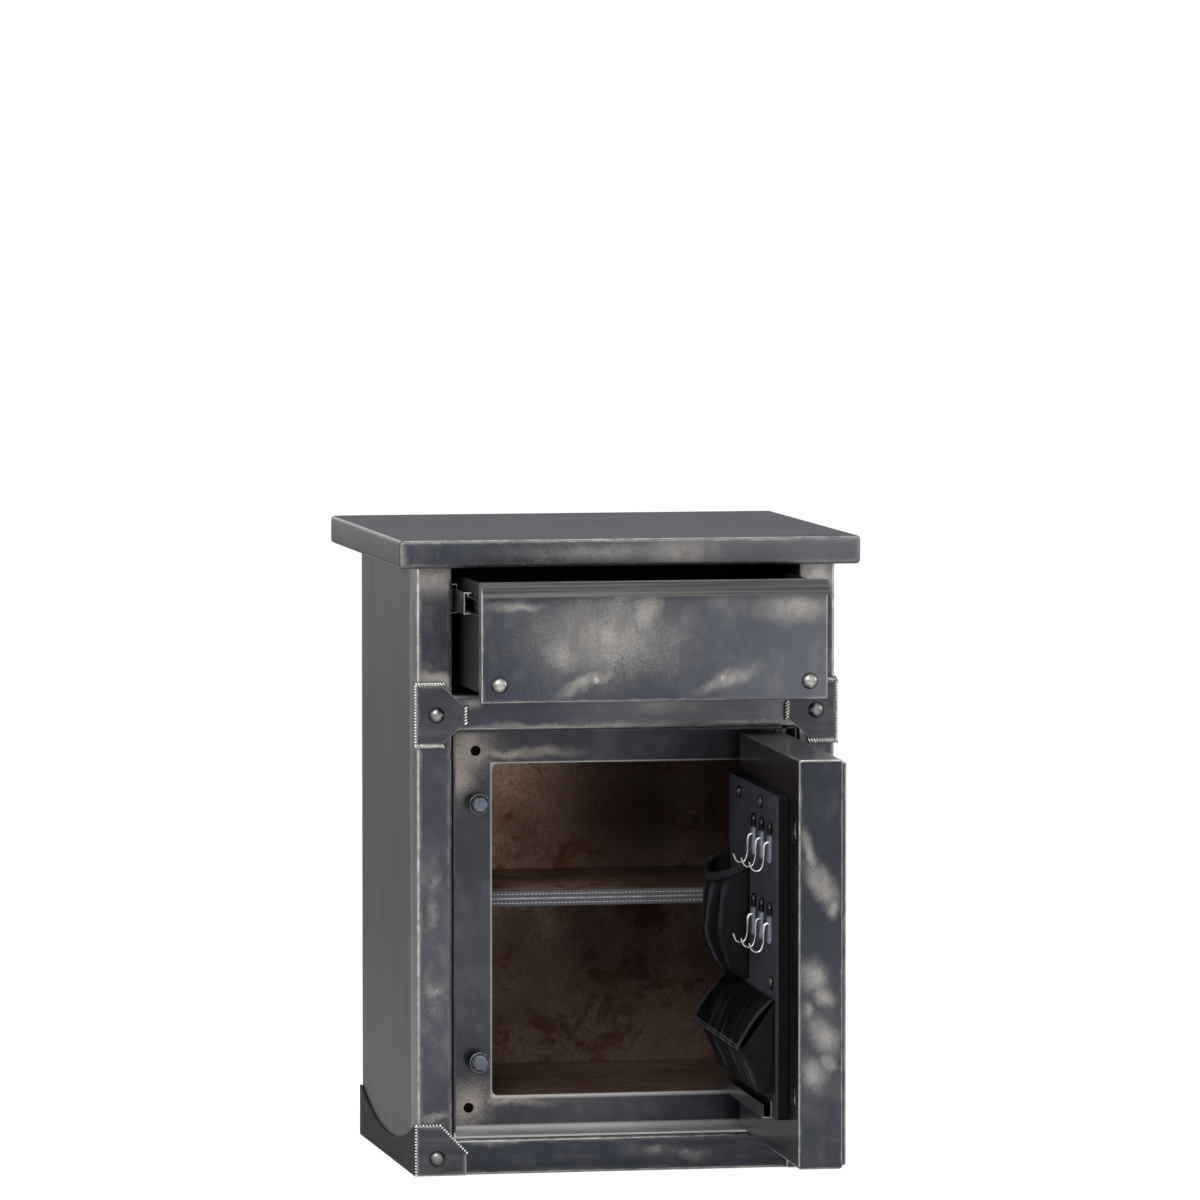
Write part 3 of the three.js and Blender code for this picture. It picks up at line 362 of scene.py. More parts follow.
def steelFinish(name, body="cabinet", edges=None, seed=0.0, fade=None, mouth=None, brushed=None, **changes):
    # edges is the box whose edges are worn and carry a thin line of bare steel and painted highlight, fade
    # another blue across x, mouth an opening's rim, painted as a highlight line
    look = {**steelLook, **changes}
    material, tree, shader = newMaterial(
        name,
        Metallic=look["metallic"],
        Coat_Weight=look["coat"],
        Coat_Roughness=look["coatRoughness"],
        Specular_IOR_Level=look["specular"],
    )
    place = homeCoords(tree, body)
    shifted = vector(tree, "ADD", place, (seed * 0.37, seed * 0.11, seed * 0.23))
    broad, medium, fine, speck = (clouds(tree, shifted, *grain) for grain in look["grains"].values())
    marks = look["swipe"]
    lie = (0, math.radians(marks["turn"]), 0)
    swipes = clouds(tree, stretch(tree, shifted, marks["scale"], lie), 1.0, 6.0, 0.6, 0.15)
    grit = calc(tree, "ADD", sway(tree, fine, 1.3), sway(tree, speck, 0.8))
    mottling = weigh(tree, (broad, 0.45), (medium, 0.25), (swipes, 0.30))
    rubbed = remap(
        tree,
        calc(tree, "ADD", mottling, calc(tree, "MULTIPLY", grit, 0.05)),
        0.47,
        0.66,
        0.0,
        look["mottle"],
    )
    if edges:
        away = edgeDistance(tree, place, *edges)
        line = remap(
            tree, calc(tree, "ADD", away, sway(tree, medium, 0.0014)), 0.0005, 0.0020, look["edgeShare"], 0.0
        )
        wander = calc(tree, "ADD", sway(tree, medium, 0.012), calc(tree, "MULTIPLY", grit, 0.0018))
        band = remap(
            tree, calc(tree, "ADD", away, wander), 0.0, mm(look["wearWidth"]), 0.5 * look["edgeShare"], 0.0
        )
        rubbed = calc(tree, "MAXIMUM", rubbed, band)
    if look["patches"]:
        field = patchField(tree, place, look["patches"], look["warp"])
        field = calc(tree, "ADD", field, sway(tree, swipes, 1.5))
        field = calc(tree, "ADD", field, sway(tree, medium, 0.7))
        halo = remap(tree, field, 0.3, 1.6, 0.36, 0.0)
        spray = remap(tree, calc(tree, "ADD", field, calc(tree, "MULTIPLY", grit, 1.9)), 0.25, 1.2, 0.92, 0.0)
        rubbed = calc(tree, "MAXIMUM", rubbed, calc(tree, "MAXIMUM", halo, spray))
    lowBlue, highBlue = (tone(*c) for c in look["blue"])
    lowWorn, highWorn = (tone(*c) for c in look["worn"])
    cool = blendColor(tree, remap(tree, mottling, 0.36, 0.60, 0.0, 1.0), lowBlue, highBlue)
    if fade:
        x = axes(tree, place)[0]
        x = calc(tree, "ADD", x, sway(tree, broad, 0.16))
        cool = blendColor(
            tree, remap(tree, x, fade["from"] / 1000, fade["to"] / 1000, 0.0, 1.0), cool, tone(*fade["tone"])
        )
    warm = blendColor(
        tree, remap(tree, weigh(tree, (fine, 0.4), (swipes, 0.6)), 0.38, 0.62, 0.0, 1.0), lowWorn, highWorn
    )
    color = blendColor(tree, rubbed, cool, warm)
    # The thin line along the edges is worn bare steel with a painted highlight; the opening's rim is a
    # painted highlight
    if edges:
        color = blendColor(tree, line, color, tone(*look["bare"]))
    if mouth:
        color = blendColor(tree, rimOf(tree, place, mouth), color, tone(*look["bare"]))
    pits = calc(tree, "MULTIPLY", calc(tree, "SUBTRACT", speck, 0.42, clamp=True), 0.6)
    color = blendColor(tree, pits, color, tone(*look["pits"]))
    base = look["roughness"]
    satin = remap(
        tree, weigh(tree, (swipes, 0.5), (rubbed, 0.5)), 0.2, 0.8, base - 0.05, base + 0.12, smooth=False
    )
    height = weigh(tree, (speck, 0.4), (fine, 0.6))
    if brushed:
        lines = clouds(tree, stretch(tree, shifted, brushed["scale"]), 1.0, 3.0, 0.6)
        height = calc(tree, "ADD", height, calc(tree, "MULTIPLY", lines, 1.2))
        color = blendColor(
            tree, remap(tree, lines, 0.35, 0.7, 0.0, brushed["share"]), color, tone(*brushed["tint"])
        )
    plug(tree, shader, Base_Color=color, Roughness=satin, Normal=bump(tree, height, 0.00006))
    return material


def plainMetal(
    name, low, high, metallic=0.9, roughness=0.28, scale=30.0, grain=None, coat=0.0, body="cabinet"
):
    material, tree, shader = newMaterial(name, Metallic=metallic, Coat_Weight=coat, Coat_Roughness=0.15)
    place = homeCoords(tree, body)
    medium = clouds(tree, place, scale, 5.0, 0.6, 0.2)
    fine = clouds(tree, stretch(tree, place, grain or (900, 900, 900)), 1.0, 3.0, 0.6)
    share = weigh(tree, (medium, 0.6), (fine, 0.4))
    color = blendColor(tree, remap(tree, share, 0.34, 0.64, 0.0, 1.0), tone(*low), tone(*high))
    satin = satinOf(tree, share, roughness - 0.06, roughness + 0.08)
    plug(tree, shader, Base_Color=color, Roughness=satin, Normal=bump(tree, fine, 0.00004))
    return material


def reliefWithPaintedLight(name, plane, height, low, high, metallic=0.9, roughness=0.24, focus=1.0):
    # Painted shade where it meets the plate it stands on, painted highlight at its crest
    # A higher focus keeps the painted highlight small
    material, tree, shader = newMaterial(name, Metallic=metallic)
    place = homeCoords(tree)
    y = axes(tree, place)[1]
    soft = clouds(tree, place, 70.0, 3.0, 0.5)
    out = calc(tree, "ADD", y, sway(tree, soft, 0.0012))
    crest = calc(
        tree, "POWER", remap(tree, out, plane / 1000, (plane - height) / 1000, 0.0, 1.0, smooth=False), focus
    )
    color = blendColor(tree, crest, tone(*low), tone(*high))
    plug(tree, shader, Base_Color=color, Roughness=satinOf(tree, soft, roughness - 0.04, roughness + 0.06))
    return material


def powderCoat(name, low, high, roughness=0.5, body="cabinet", specular=0.5):
    material, tree, shader = newMaterial(name, Metallic=0.0, Specular_IOR_Level=specular)
    place = homeCoords(tree, body)
    pebble = addNode(
        tree, "ShaderNodeTexVoronoi", {"Vector": place, "Scale": 1400.0}, feature="SMOOTH_F1"
    ).outputs[0]
    medium = clouds(tree, place, 60.0, 4.0, 0.6)
    color = blendColor(
        tree,
        remap(tree, weigh(tree, (pebble, 0.5), (medium, 0.5)), 0.2, 0.7, 0.0, 1.0),
        tone(*low),
        tone(*high),
    )
    satin = satinOf(tree, medium, roughness - 0.05, roughness + 0.08)
    plug(tree, shader, Base_Color=color, Roughness=satin, Normal=bump(tree, pebble, 0.00012))
    return material


def rustLiningFinish():
    material, tree, shader = newMaterial("rustLining", Specular_IOR_Level=0.35)
    place = homeCoords(tree)
    broad = clouds(tree, place, 6.0, 5.0, 0.6, 0.6)
    blot = clouds(tree, vector(tree, "ADD", place, (3.1, 0.7, 1.9)), 17.0, 7.0, 0.66, 0.5)
    fine = clouds(tree, place, 260.0, 4.0, 0.65)
    grit = clouds(tree, place, 1100.0, 2.0, 0.5)
    color = blendColor(
        tree, remap(tree, broad, 0.35, 0.68, 0.0, 1.0), tone(156, 120, 102), tone(222, 184, 164)
    )
    color = blendColor(tree, remap(tree, blot, 0.51, 0.62, 0.0, 0.9), color, tone(148, 86, 44))
    color = blendColor(tree, remap(tree, blot, 0.30, 0.42, 0.55, 0.0), color, tone(74, 52, 44))
    color = blendColor(tree, remap(tree, fine, 0.42, 0.62, 0.0, 0.42), color, tone(88, 66, 58))
    # Painted shade: the lining darkens towards its foot and towards the right
    x, _, z = axes(tree, place)
    drift = sway(tree, broad, 0.2)
    low = remap(tree, calc(tree, "ADD", z, drift), 0.25, 0.44, 0.78, 0.0)
    right = remap(tree, calc(tree, "ADD", x, drift), -0.10, 0.10, 0.0, 0.82)
    color = blendColor(tree, calc(tree, "MAXIMUM", low, right), color, tone(40, 29, 26))
    height = weigh(tree, (fine, 0.7), (grit, 0.3))
    satin = satinOf(tree, blot, 0.62, 0.86)
    plug(tree, shader, Base_Color=color, Roughness=satin, Normal=bump(tree, height, 0.00025))
    return material


def clothFinish(name, low, high, shine, thread, roughness, gloss):
    material, tree, shader = newMaterial(name, Specular_IOR_Level=gloss)
    uv = addNode(tree, "ShaderNodeUVMap", uv_map="cloth").outputs[0]
    x, y, _ = axes(tree, uv)
    turns = 2 * math.pi / thread
    ribs = [
        calc(tree, "ABSOLUTE", calc(tree, "SINE", calc(tree, "MULTIPLY", side, turns))) for side in (x, y)
    ]
    ribs = calc(tree, "ADD", *ribs)
    warp = calc(tree, "SINE", calc(tree, "MULTIPLY", x, turns / 2))
    weft = calc(tree, "SINE", calc(tree, "MULTIPLY", y, turns / 2))
    weave = calc(tree, "MULTIPLY", warp, weft)
    place = homeCoords(tree, "door")
    soft = clouds(tree, place, 34.0, 4.0, 0.6)
    lint = clouds(tree, place, 900.0, 3.0, 0.7)
    share = weigh(tree, (weave, 0.22), (soft, 0.6), (lint, 0.4))
    color = blendColor(tree, remap(tree, share, 0.25, 0.75, 0.0, 1.0), tone(*low), tone(*high))
    # Painted sheen on the folds' crests and painted shade in their hollows, from each point's stored crest
    crest = addNode(tree, "ShaderNodeAttribute", attribute_name="crest").outputs["Fac"]
    color = blendColor(tree, remap(tree, crest, 0.1, 1.2, 0.0, 0.85), color, tone(*shine))
    color = blendColor(tree, remap(tree, crest, -1.0, -0.1, 0.8, 0.0), color, tone(3, 3, 4))
    height = weigh(tree, (weave, 0.5), (ribs, 0.25), (lint, 0.3))
    satin = satinOf(tree, soft, roughness - 0.06, roughness + 0.06)
    plug(tree, shader, Base_Color=color, Roughness=satin, Normal=bump(tree, height, 0.00022))
    return material


# Mesh tools


def meshOf(name, points, faces):
    mesh = bpy.data.meshes.new(name)
    mesh.from_pydata([tuple(p) for p in points], [], faces)
    work = bmesh.new()
    work.from_mesh(mesh)
    bmesh.ops.remove_doubles(work, verts=work.verts, dist=1e-6)
    bmesh.ops.recalc_face_normals(work, faces=work.faces)
    work.to_mesh(mesh)
    work.free()
    mesh.shade_smooth()
    return mesh


def evaluatedMesh(obj):
    bpy.context.view_layer.update()
    depsgraph = bpy.context.evaluated_depsgraph_get()
    return bpy.data.meshes.new_from_object(obj.evaluated_get(depsgraph), depsgraph=depsgraph)


def applyModifiers(obj):
    # Replaces the object's mesh by the evaluated one and drops its modifiers
    done = evaluatedMesh(obj)
    obj.modifiers.clear()
    old = obj.data
    obj.data = done
    done.name = obj.name
    bpy.data.meshes.remove(old)
    return obj


def markSharp(mesh, angle=40):  # edges that bend more than this stay sharp in a smooth surface
    mesh.set_sharp_from_angle(angle=math.radians(angle))


def softenEdges(obj, width, segments=2, angle=55):
    bevel = obj.modifiers.new("softEdges", "BEVEL")
    bevel.width = width / 1000
    bevel.segments = segments
    bevel.limit_method = "ANGLE"
    bevel.angle_limit = math.radians(angle)
    bevel.use_clamp_overlap = True
    bevel.miter_outer = "MITER_ARC"
    applyModifiers(obj)
    obj.data.shade_smooth()
    markSharp(obj.data, 50)
    even = obj.modifiers.new("evenShading", "WEIGHTED_NORMAL")
    even.keep_sharp = True
    even.weight = 50
    return applyModifiers(obj)


def giveWall(obj, thickness, offset=-1.0):  # mm
    wall = obj.modifiers.new("wall", "SOLIDIFY")
    wall.thickness = thickness / 1000
    wall.offset = offset
    return applyModifiers(obj)


def markFaces(obj, index, chosen):  # the faces that chosen(middle, normal) accepts take another material
    for face in obj.data.polygons:
        if chosen(face.center * 1000, face.normal):
            face.material_index = index
    obj.data.update()


def isBevel(normal):  # faces that belong to a bevel of an upright plate
    return 0.12 < abs(normal.y) < 0.94


def finishPiece(obj, body, material, standsFor=()):
    obj.data.materials.clear()
    for one in material if isinstance(material, (list, tuple)) else [material]:
        obj.data.materials.append(one)
    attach(obj, body)
    if standsFor:
        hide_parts(*([standsFor] if isinstance(standsFor, str) else standsFor))
    return obj


def pieceName(node):
    first, *rest = node.split("_")
    return first + "".join(word.capitalize() for word in rest)


def mergedCopy(node, name=None):
    # A copy of a frame node with its loose triangles joined into whole faces
    mesh = nodes[node].data.copy()
    work = bmesh.new()
    work.from_mesh(mesh)
    bmesh.ops.remove_doubles(work, verts=work.verts, dist=1e-5)
    bmesh.ops.dissolve_degenerate(work, dist=1e-6, edges=work.edges)
    bmesh.ops.dissolve_limit(work, angle_limit=math.radians(1.0), verts=work.verts, edges=work.edges)
    work.to_mesh(mesh)
    work.free()
    mesh.materials.clear()
    return newObject(name or pieceName(node), mesh)


def dressNode(node, body, material, width, segments=2, name=None):
    piece = softenEdges(mergedCopy(node, name), width, segments)
    return finishPiece(piece, body, material, node)


def lathePoints(profile, turns):
    points, faces = [], []
    for k in range(turns):
        a = 2 * math.pi * k / turns
        points += [(r * math.cos(a), r * math.sin(a), h) for r, h in profile]
    n = len(profile)
    for k in range(turns):
        for i in range(n - 1):
            a, b = k * n + i, ((k + 1) % turns) * n + i
            faces.append((a, b, b + 1, a + 1))
    return points, faces


def halfCircle(x, y, radius, start):  # points round half a circle from this angle on
    angles = [start + math.pi * i / 12 for i in range(13)]
    return [(x + radius * math.cos(a), y + radius * math.sin(a)) for a in angles]


def prismFaces(count):
    # Two end faces and the sides between them, for the points of one end and then those of the other
    sides = [(i, (i + 1) % count, (i + 1) % count + count, i + count) for i in range(count)]
    return [tuple(range(count)), tuple(range(2 * count - 1, count - 1, -1)), *sides]


def lathe(name, profile, turns):
    # A turned shape round Z: profile is (radius, height) in mm from its foot
    points, faces = lathePoints([(r / 1000, h / 1000) for r, h in profile], turns)
    return meshOf(name, points, faces)


def beadMesh(name, sides):  # a ball of radius one
    profile = [(math.sin(math.pi * i / 6), math.cos(math.pi * i / 6)) for i in range(7)]
    points, faces = lathePoints(profile, sides)
    return meshOf(name, points, faces)


def facing(at, outward):
    # A matrix whose Z points outward, at a point in metres
    return Matrix.Translation(at) @ Vector(outward).to_track_quat("Z", "Y").to_matrix().to_4x4()


def joinMeshes(name, meshes):
    work = bmesh.new()
    for mesh in meshes:
        work.from_mesh(mesh)
    joined = bpy.data.meshes.new(name)
    work.to_mesh(joined)
    work.free()
    joined.shade_smooth()
    return joined


def tubeMesh(name, path, diameter):
    # A round wire along points in metres
    curve = bpy.data.curves.new(name, "CURVE")
    curve.dimensions = "3D"
    spline = curve.splines.new("POLY")
    spline.points.add(len(path) - 1)
    for point, where in zip(spline.points, path):
        point.co = (*where, 1)
    curve.bevel_depth = diameter / 2000
    curve.bevel_resolution = 2
    curve.use_fill_caps = True
    holder = newObject(name, curve)
    mesh = evaluatedMesh(holder)
    bpy.data.objects.remove(holder)
    bpy.data.curves.remove(curve)
    mesh.shade_smooth()
    return mesh


def smoothPath(points, steps):
    # Points on a Catmull-Rom curve through the given ones
    points = [Vector(p) for p in points]
    last = len(points) - 1
    out = []
    for i in range(last):
        a, b, c, d = (points[min(max(k, 0), last)] for k in range(i - 1, i + 3))
        for s in range(steps):
            t = s / steps
            bend = (2 * a - 5 * b + 4 * c - d) * t * t + (3 * b - a - 3 * c + d) * t**3
            out.append(0.5 * (2 * b + (c - a) * t + bend))
    return [*out, points[-1]]


# Geometry nodes: things that repeat along a line, and things set at marked points


def newGroup(name, sockets):
    # sockets are (label, kind, value); the ids say how a modifier addresses each input
    group = bpy.data.node_groups.new(name, "GeometryNodeTree")
    ids = {}
    for label, kind, value in [("Geometry", "Geometry", None), *sockets]:
        item = group.interface.new_socket(label, in_out="INPUT", socket_type="NodeSocket" + kind)
        if value is not None:
            item.default_value = value
        ids[label] = item.identifier
    group.interface.new_socket("Geometry", in_out="OUTPUT", socket_type="NodeSocketGeometry")
    return group, group.nodes.new("NodeGroupInput").outputs, ids


def closeGroup(group, given, instances):
    real = addNode(group, "GeometryNodeRealizeInstances", {0: instances})
    inputs = {"Geometry": real.outputs[0], "Material": given["Material"]}
    painted = addNode(group, "GeometryNodeSetMaterial", inputs)
    group.links.new(painted.outputs[0], group.nodes.new("NodeGroupOutput").inputs[0])


def itemOf(group, given):
    inputs = {"Object": given["Item"]}
    return addNode(group, "GeometryNodeObjectInfo", inputs, transform_space="ORIGINAL").outputs["Geometry"]


def attributeOf(group, name, kind="FLOAT_VECTOR"):
    return addNode(group, "GeometryNodeInputNamedAttribute", {"Name": name}, data_type=kind).outputs[0]


def alongLineGroup():
    # Copies of one item at even steps along the curve, each turned to it, with a little seeded variety
    sockets = [
        ("Item", "Object", None), ("Step", "Float", 0.002), ("Variety", "Float", 0.1), ("Seed", "Int", 1)
    ]
    group, given, ids = newGroup("itemsAlongLine", [*sockets, ("Material", "Material", None)])
    line = addNode(group, "GeometryNodeMeshToCurve", {"Mesh": given["Geometry"]}).outputs[0]
    inputs = {"Curve": line, "Length": given["Step"]}
    even = addNode(group, "GeometryNodeResampleCurve", inputs, mode="LENGTH").outputs[0]
    flow = addNode(group, "GeometryNodeInputTangent").outputs[0]
    inputs = {"Primary Axis": attributeOf(group, "up"), "Secondary Axis": flow}
    turn = addNode(
        group, "FunctionNodeAxesToRotation", inputs, primary_axis="Z", secondary_axis="X"
    ).outputs[0]
    limits = []
    for operation in ("SUBTRACT", "ADD"):
        size = addNode(group, "ShaderNodeMath", {0: 1.0, 1: given["Variety"]}, operation=operation).outputs[0]
        limits.append(addNode(group, "ShaderNodeCombineXYZ", {0: size, 1: size, 2: size}).outputs[0])
    inputs = {0: limits[0], 1: limits[1], "Seed": given["Seed"]}
    size = addNode(group, "FunctionNodeRandomValue", inputs, data_type="FLOAT_VECTOR").outputs[0]
    inputs = {"Geometry": even, "Name": "aim", "Value": turn}
    stored = addNode(group, "GeometryNodeStoreNamedAttribute", inputs, data_type="QUATERNION", domain="POINT")
    points = addNode(group, "GeometryNodeCurveToPoints", {"Curve": stored.outputs[0]}, mode="EVALUATED")
    aim = attributeOf(group, "aim", "QUATERNION")
    inputs = {"Points": points.outputs[0], "Instance": itemOf(group, given), "Rotation": aim, "Scale": size}
    closeGroup(group, given, addNode(group, "GeometryNodeInstanceOnPoints", inputs).outputs[0])
    return group, ids


def atPointsGroup():
    # Copies of one item at the mesh's vertices, turned as their stored turn says
    group, given, ids = newGroup(
        "itemsAtPoints", [("Item", "Object", None), ("Size", "Float", 1.0), ("Material", "Material", None)]
    )
    inputs = {
        "Points": given["Geometry"],
        "Instance": itemOf(group, given),
        "Rotation": attributeOf(group, "turn"),
        "Scale": given["Size"],
    }
    closeGroup(group, given, addNode(group, "GeometryNodeInstanceOnPoints", inputs).outputs[0])
    return group, ids


lineGroup, lineIds = alongLineGroup()
pointGroup, pointIds = atPointsGroup()


def runGroup(name, carrier, group, ids, values):
    # Runs a group on a carrier object and keeps the result as a plain mesh object
    modifier = carrier.modifiers.new(name, "NODES")
    modifier.node_group = group
    for label, value in values.items():
        modifier[ids[label]] = value
    mesh = evaluatedMesh(carrier)
    mesh.name = name
    for layer in [a.name for a in mesh.attributes if a.name in ("aim", "up", "turn")]:
        mesh.attributes.remove(mesh.attributes[layer])
    carrier.modifiers.clear()
    bpy.data.objects.remove(carrier)
    return newObject(name, mesh)


def carrierOf(name, points, edges, label, values):
    # A mesh of points and edges with a vector stored at each point
    mesh = bpy.data.meshes.new(name)
    mesh.from_pydata([tuple(p) for p in points], edges, [])
    attribute = mesh.attributes.new(label, "FLOAT_VECTOR", "POINT")
    for entry, value in zip(attribute.data, values):
        entry.vector = value
    return newObject(name, mesh)


def runWithItem(name, mesh, carrier, group, ids, values, material, body):
    item = newObject(name + "Item", mesh)
    item.hide_render = True
    piece = runGroup(name, carrier, group, ids, {"Item": item, "Material": material, **values})
    bpy.data.objects.remove(item)
    return finishPiece(piece, body, material)


def itemsAt(name, mesh, places, material, body):
    # places are matrices
    spots = [p.to_translation() for p in places]
    carrier = carrierOf(name + "Points", spots, [], "turn", [tuple(p.to_euler()) for p in places])
    return runWithItem(name, mesh, carrier, pointGroup, pointIds, {"Size": 1.0}, material, body)


def itemsAlong(name, mesh, paths, step, material, body, variety=0.1, seed=1):
    # Each path is a list of points in metres with the outward direction of what it lies on
    points, edges, ups = [], [], []
    for line, up in paths:
        first = len(points)
        points += line
        ups += [up(where) if callable(up) else up for where in line]
        edges += [(first + i, first + i + 1) for i in range(len(line) - 1)]
    carrier = carrierOf(name + "Line", points, edges, "up", ups)
    values = {"Step": step / 1000, "Variety": variety, "Seed": seed}
    return runWithItem(name, mesh, carrier, lineGroup, lineIds, values, material, body)


print("tools ready")

# Finishes


def boxOf(node):  # low and high corners of a frame node, mm
    low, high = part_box(node)
    return tuple(low * 1000), tuple(high * 1000)


zincMetal = plainMetal("zincMetal", (96, 99, 105), (150, 153, 158), 0.92, 0.27, 60.0)
studMetal = plainMetal("studMetal", (34, 38, 46), (62, 67, 78), 0.9, 0.26, 40.0)
studHead = plainMetal("studHead", (84, 91, 101), (116, 122, 132), 0.9, 0.24, 60.0)
# A painted glint on the bevels of the studs' heads and washers
studEdge = plainMetal("studEdge", (176, 181, 188), (222, 226, 230), 0.5, 0.3, 60.0)
# The slides: faces dark as painted shade, cut ends bright as a painted highlight
slideMetal = plainMetal("slideMetal", (16, 18, 21), (58, 62, 68), 0.95, 0.2, 25.0, grain=(1500, 30, 1500))
slideEdge = plainMetal("slideEdge", (190, 194, 196), (240, 242, 243), 0.7, 0.3, 90.0)
pinMetal = plainMetal("pinMetal", (58, 58, 60), (96, 95, 94), 0.95, 0.34, 80.0)
# Weld beads and rivets: painted shade at the foot, painted highlight at the crest
ropeMetal = reliefWithPaintedLight("ropeMetal", -206.5, 2.5, (12, 12, 14), (222, 219, 214), metallic=0.8)
dotMetal = reliefWithPaintedLight(
    "dotMetal", -206.3, 1.9, (10, 10, 12), (252, 250, 246), metallic=0.6, roughness=0.3, focus=1.4
)
rivetMetal = reliefWithPaintedLight("rivetMetal", -206.3, 5.3, (34, 34, 37), (148, 146, 144), roughness=0.26, focus=3.2)
drawerRivetMetal = reliefWithPaintedLight(
    "drawerRivetMetal", -381.0, 5.5, (46, 46, 49), (182, 179, 176), roughness=0.26, focus=3.2
)
spotMetal = plainMetal("spotMetal", (138, 134, 129), (176, 171, 165), 0.8, 0.4, 60.0)
blackPowder = powderCoat("blackPowder", (15, 15, 17), (27, 27, 30), 0.56, specular=0.2)
# A dim line of worn steel and painted highlight along the slab's front edges
slabCorner = plainMetal("slabCorner", (84, 83, 84), (132, 130, 129), 0.85, 0.34, 60.0)
# Bevel faces: worn bare steel with a painted highlight
bareCorner = plainMetal("bareCorner", (138, 135, 133), (206, 203, 199), 0.85, 0.3, 60.0)
# Gusset bevels: worn steel with a painted highlight
gussetCorner = plainMetal("gussetCorner", (168, 165, 161), (222, 218, 213), 0.35, 0.45, 60.0)
bareDoorCorner = plainMetal("bareDoorCorner", (120, 118, 117), (176, 174, 171), 0.85, 0.3, 60.0, body="door")
darkSheet = plainMetal("darkSheet", (40, 43, 48), (58, 61, 67), 0.7, 0.42, 24.0, coat=0.2)
rustLining = rustLiningFinish()
print("finishes ready")

# Welded frame, panels and slab

memberLook = {
    "left_stile": {
        "patches": [
            {"at": (-232, -203, 718), "size": (40, 40, 26), "faint": -0.15},
            {"at": (-232, -203, 596), "size": (30, 30, 10), "faint": -0.1},
            {"at": (-238, -203, 330), "size": (12, 8, 80), "faint": 0.5},
            {"at": (-232, -203, 223), "size": (18, 8, 50), "faint": 0.5},
            {"at": (-232, -203, 68), "size": (30, 10, 7), "faint": 0.3},
        ],
        "seed": 1.0,
        "swipe": {"scale": (30, 11, 22), "turn": 30},
        "blue": [(66, 67, 75), (80, 82, 91)],
        "worn": [(140, 136, 132), (198, 192, 186)],
    },
    "right_stile": {
        "patches": [
            {"at": (232, -203, 718), "size": (40, 40, 24), "faint": -0.15},
            {"at": (236, -203, 360), "size": (12, 8, 70), "faint": 0.5},
            {"at": (230, -203, 110), "size": (18, 8, 40), "faint": 0.5},
        ],
        "seed": 4.0,
        "swipe": {"scale": (30, 11, 22), "turn": -30},
        "blue": [(66, 67, 75), (80, 82, 91)],
        "worn": [(140, 136, 132), (198, 192, 186)],
    },
    "middle_rail": {
        "patches": [
            {"at": (46, -203, 562), "size": (52, 12, 14), "faint": 0.1},
            {"at": (-60, -203, 536), "size": (190, 16, 4.5)},
            {"at": (150, -203, 536), "size": (80, 16, 4.5)},
            {"at": (-190, -203, 572), "size": (14, 20, 8), "faint": 0.1},
        ],
        "seed": 2.0,
        "blue": [(68, 69, 77), (82, 84, 93)],
        "fade": {"from": -160, "to": 60, "tone": (100, 102, 110)},
    },
    "bottom_rail": {
        "patches": [
            {"at": (38, -203, 22), "size": (24, 8, 11), "faint": 0.35},
            {"at": (76, -203, 20), "size": (40, 8, 8), "faint": 0.35},
            {"at": (-150, -203, 40), "size": (60, 10, 4), "faint": 0.2},
        ],
        "seed": 3.0,
    },
}
for node, look in memberLook.items():
    finish = steelFinish(pieceName(node) + "Steel", edges=boxOf(node), wearWidth=8.0, **look)
    member = dressNode(node, "cabinet", [finish, bareCorner], 0.8)
    # The tubes' rounded corners: worn bare steel with a painted highlight
    markFaces(member, 1, lambda at, normal: 0.5 < -normal.y < 0.9)

panelLook = {
    "steel": {"blue": [(50, 50, 59), (62, 62, 71)], "worn": [(74, 74, 81), (94, 93, 99)]},
    "sides": {
        "wearWidth": 3.0,
        "edgeShare": 0.5,
        "mottle": 0.16,
        "metallic": 0.74,
        "roughness": 0.42,
        "coat": 0.04,
        "swipe": {"scale": (14, 22, 3.5), "turn": 0},
        "brushed": {"scale": (300, 60, 5), "share": 0.12, "tint": (112, 112, 120)},
    },
    "back": {"wearWidth": 4.0, "mottle": 0.2, "coat": 0.2, "seed": 7.0},
    "skirts": {
        "blue": [(44, 44, 48), (56, 55, 60)],
        "worn": [(70, 69, 73), (86, 84, 88)],
        "mottle": 0.16,
        "metallic": 0.1,
        "roughness": 0.62,
        "specular": 0.05,
        "coat": 0.0,
    },
}
cleats = [f"{level}_cleat_{side}" for level in ("shelf", "floor") for side in ("left", "right")]
for side, seed in (("left", 5.0), ("right", 6.0)):
    node = side + "_side_panel"
    look = {**panelLook["steel"], **panelLook["sides"]}
    finish = steelFinish(pieceName(node) + "Steel", edges=boxOf(node), seed=seed, **look)
    dressNode(node, "cabinet", finish, 0.6)
backFinish = steelFinish("backSteel", edges=boxOf("back_panel"), **panelLook["steel"], **panelLook["back"])
dressNode("back_panel", "cabinet", backFinish, 0.6)
for node in ("base_panel", "divider_panel", *cleats):
    dressNode(node, "cabinet", darkSheet, 0.5)
for node in ("left_bay_wall", "right_bay_wall"):
    dressNode(node, "cabinet", blackPowder, 0.5)
for side, seed in (("left", 8.0), ("right", 9.0)):
    node = side + "_skirt"
    finish = steelFinish(pieceName(node) + "Steel", seed=seed, **panelLook["skirts"])
    dressNode(node, "cabinet", finish, 0.7)

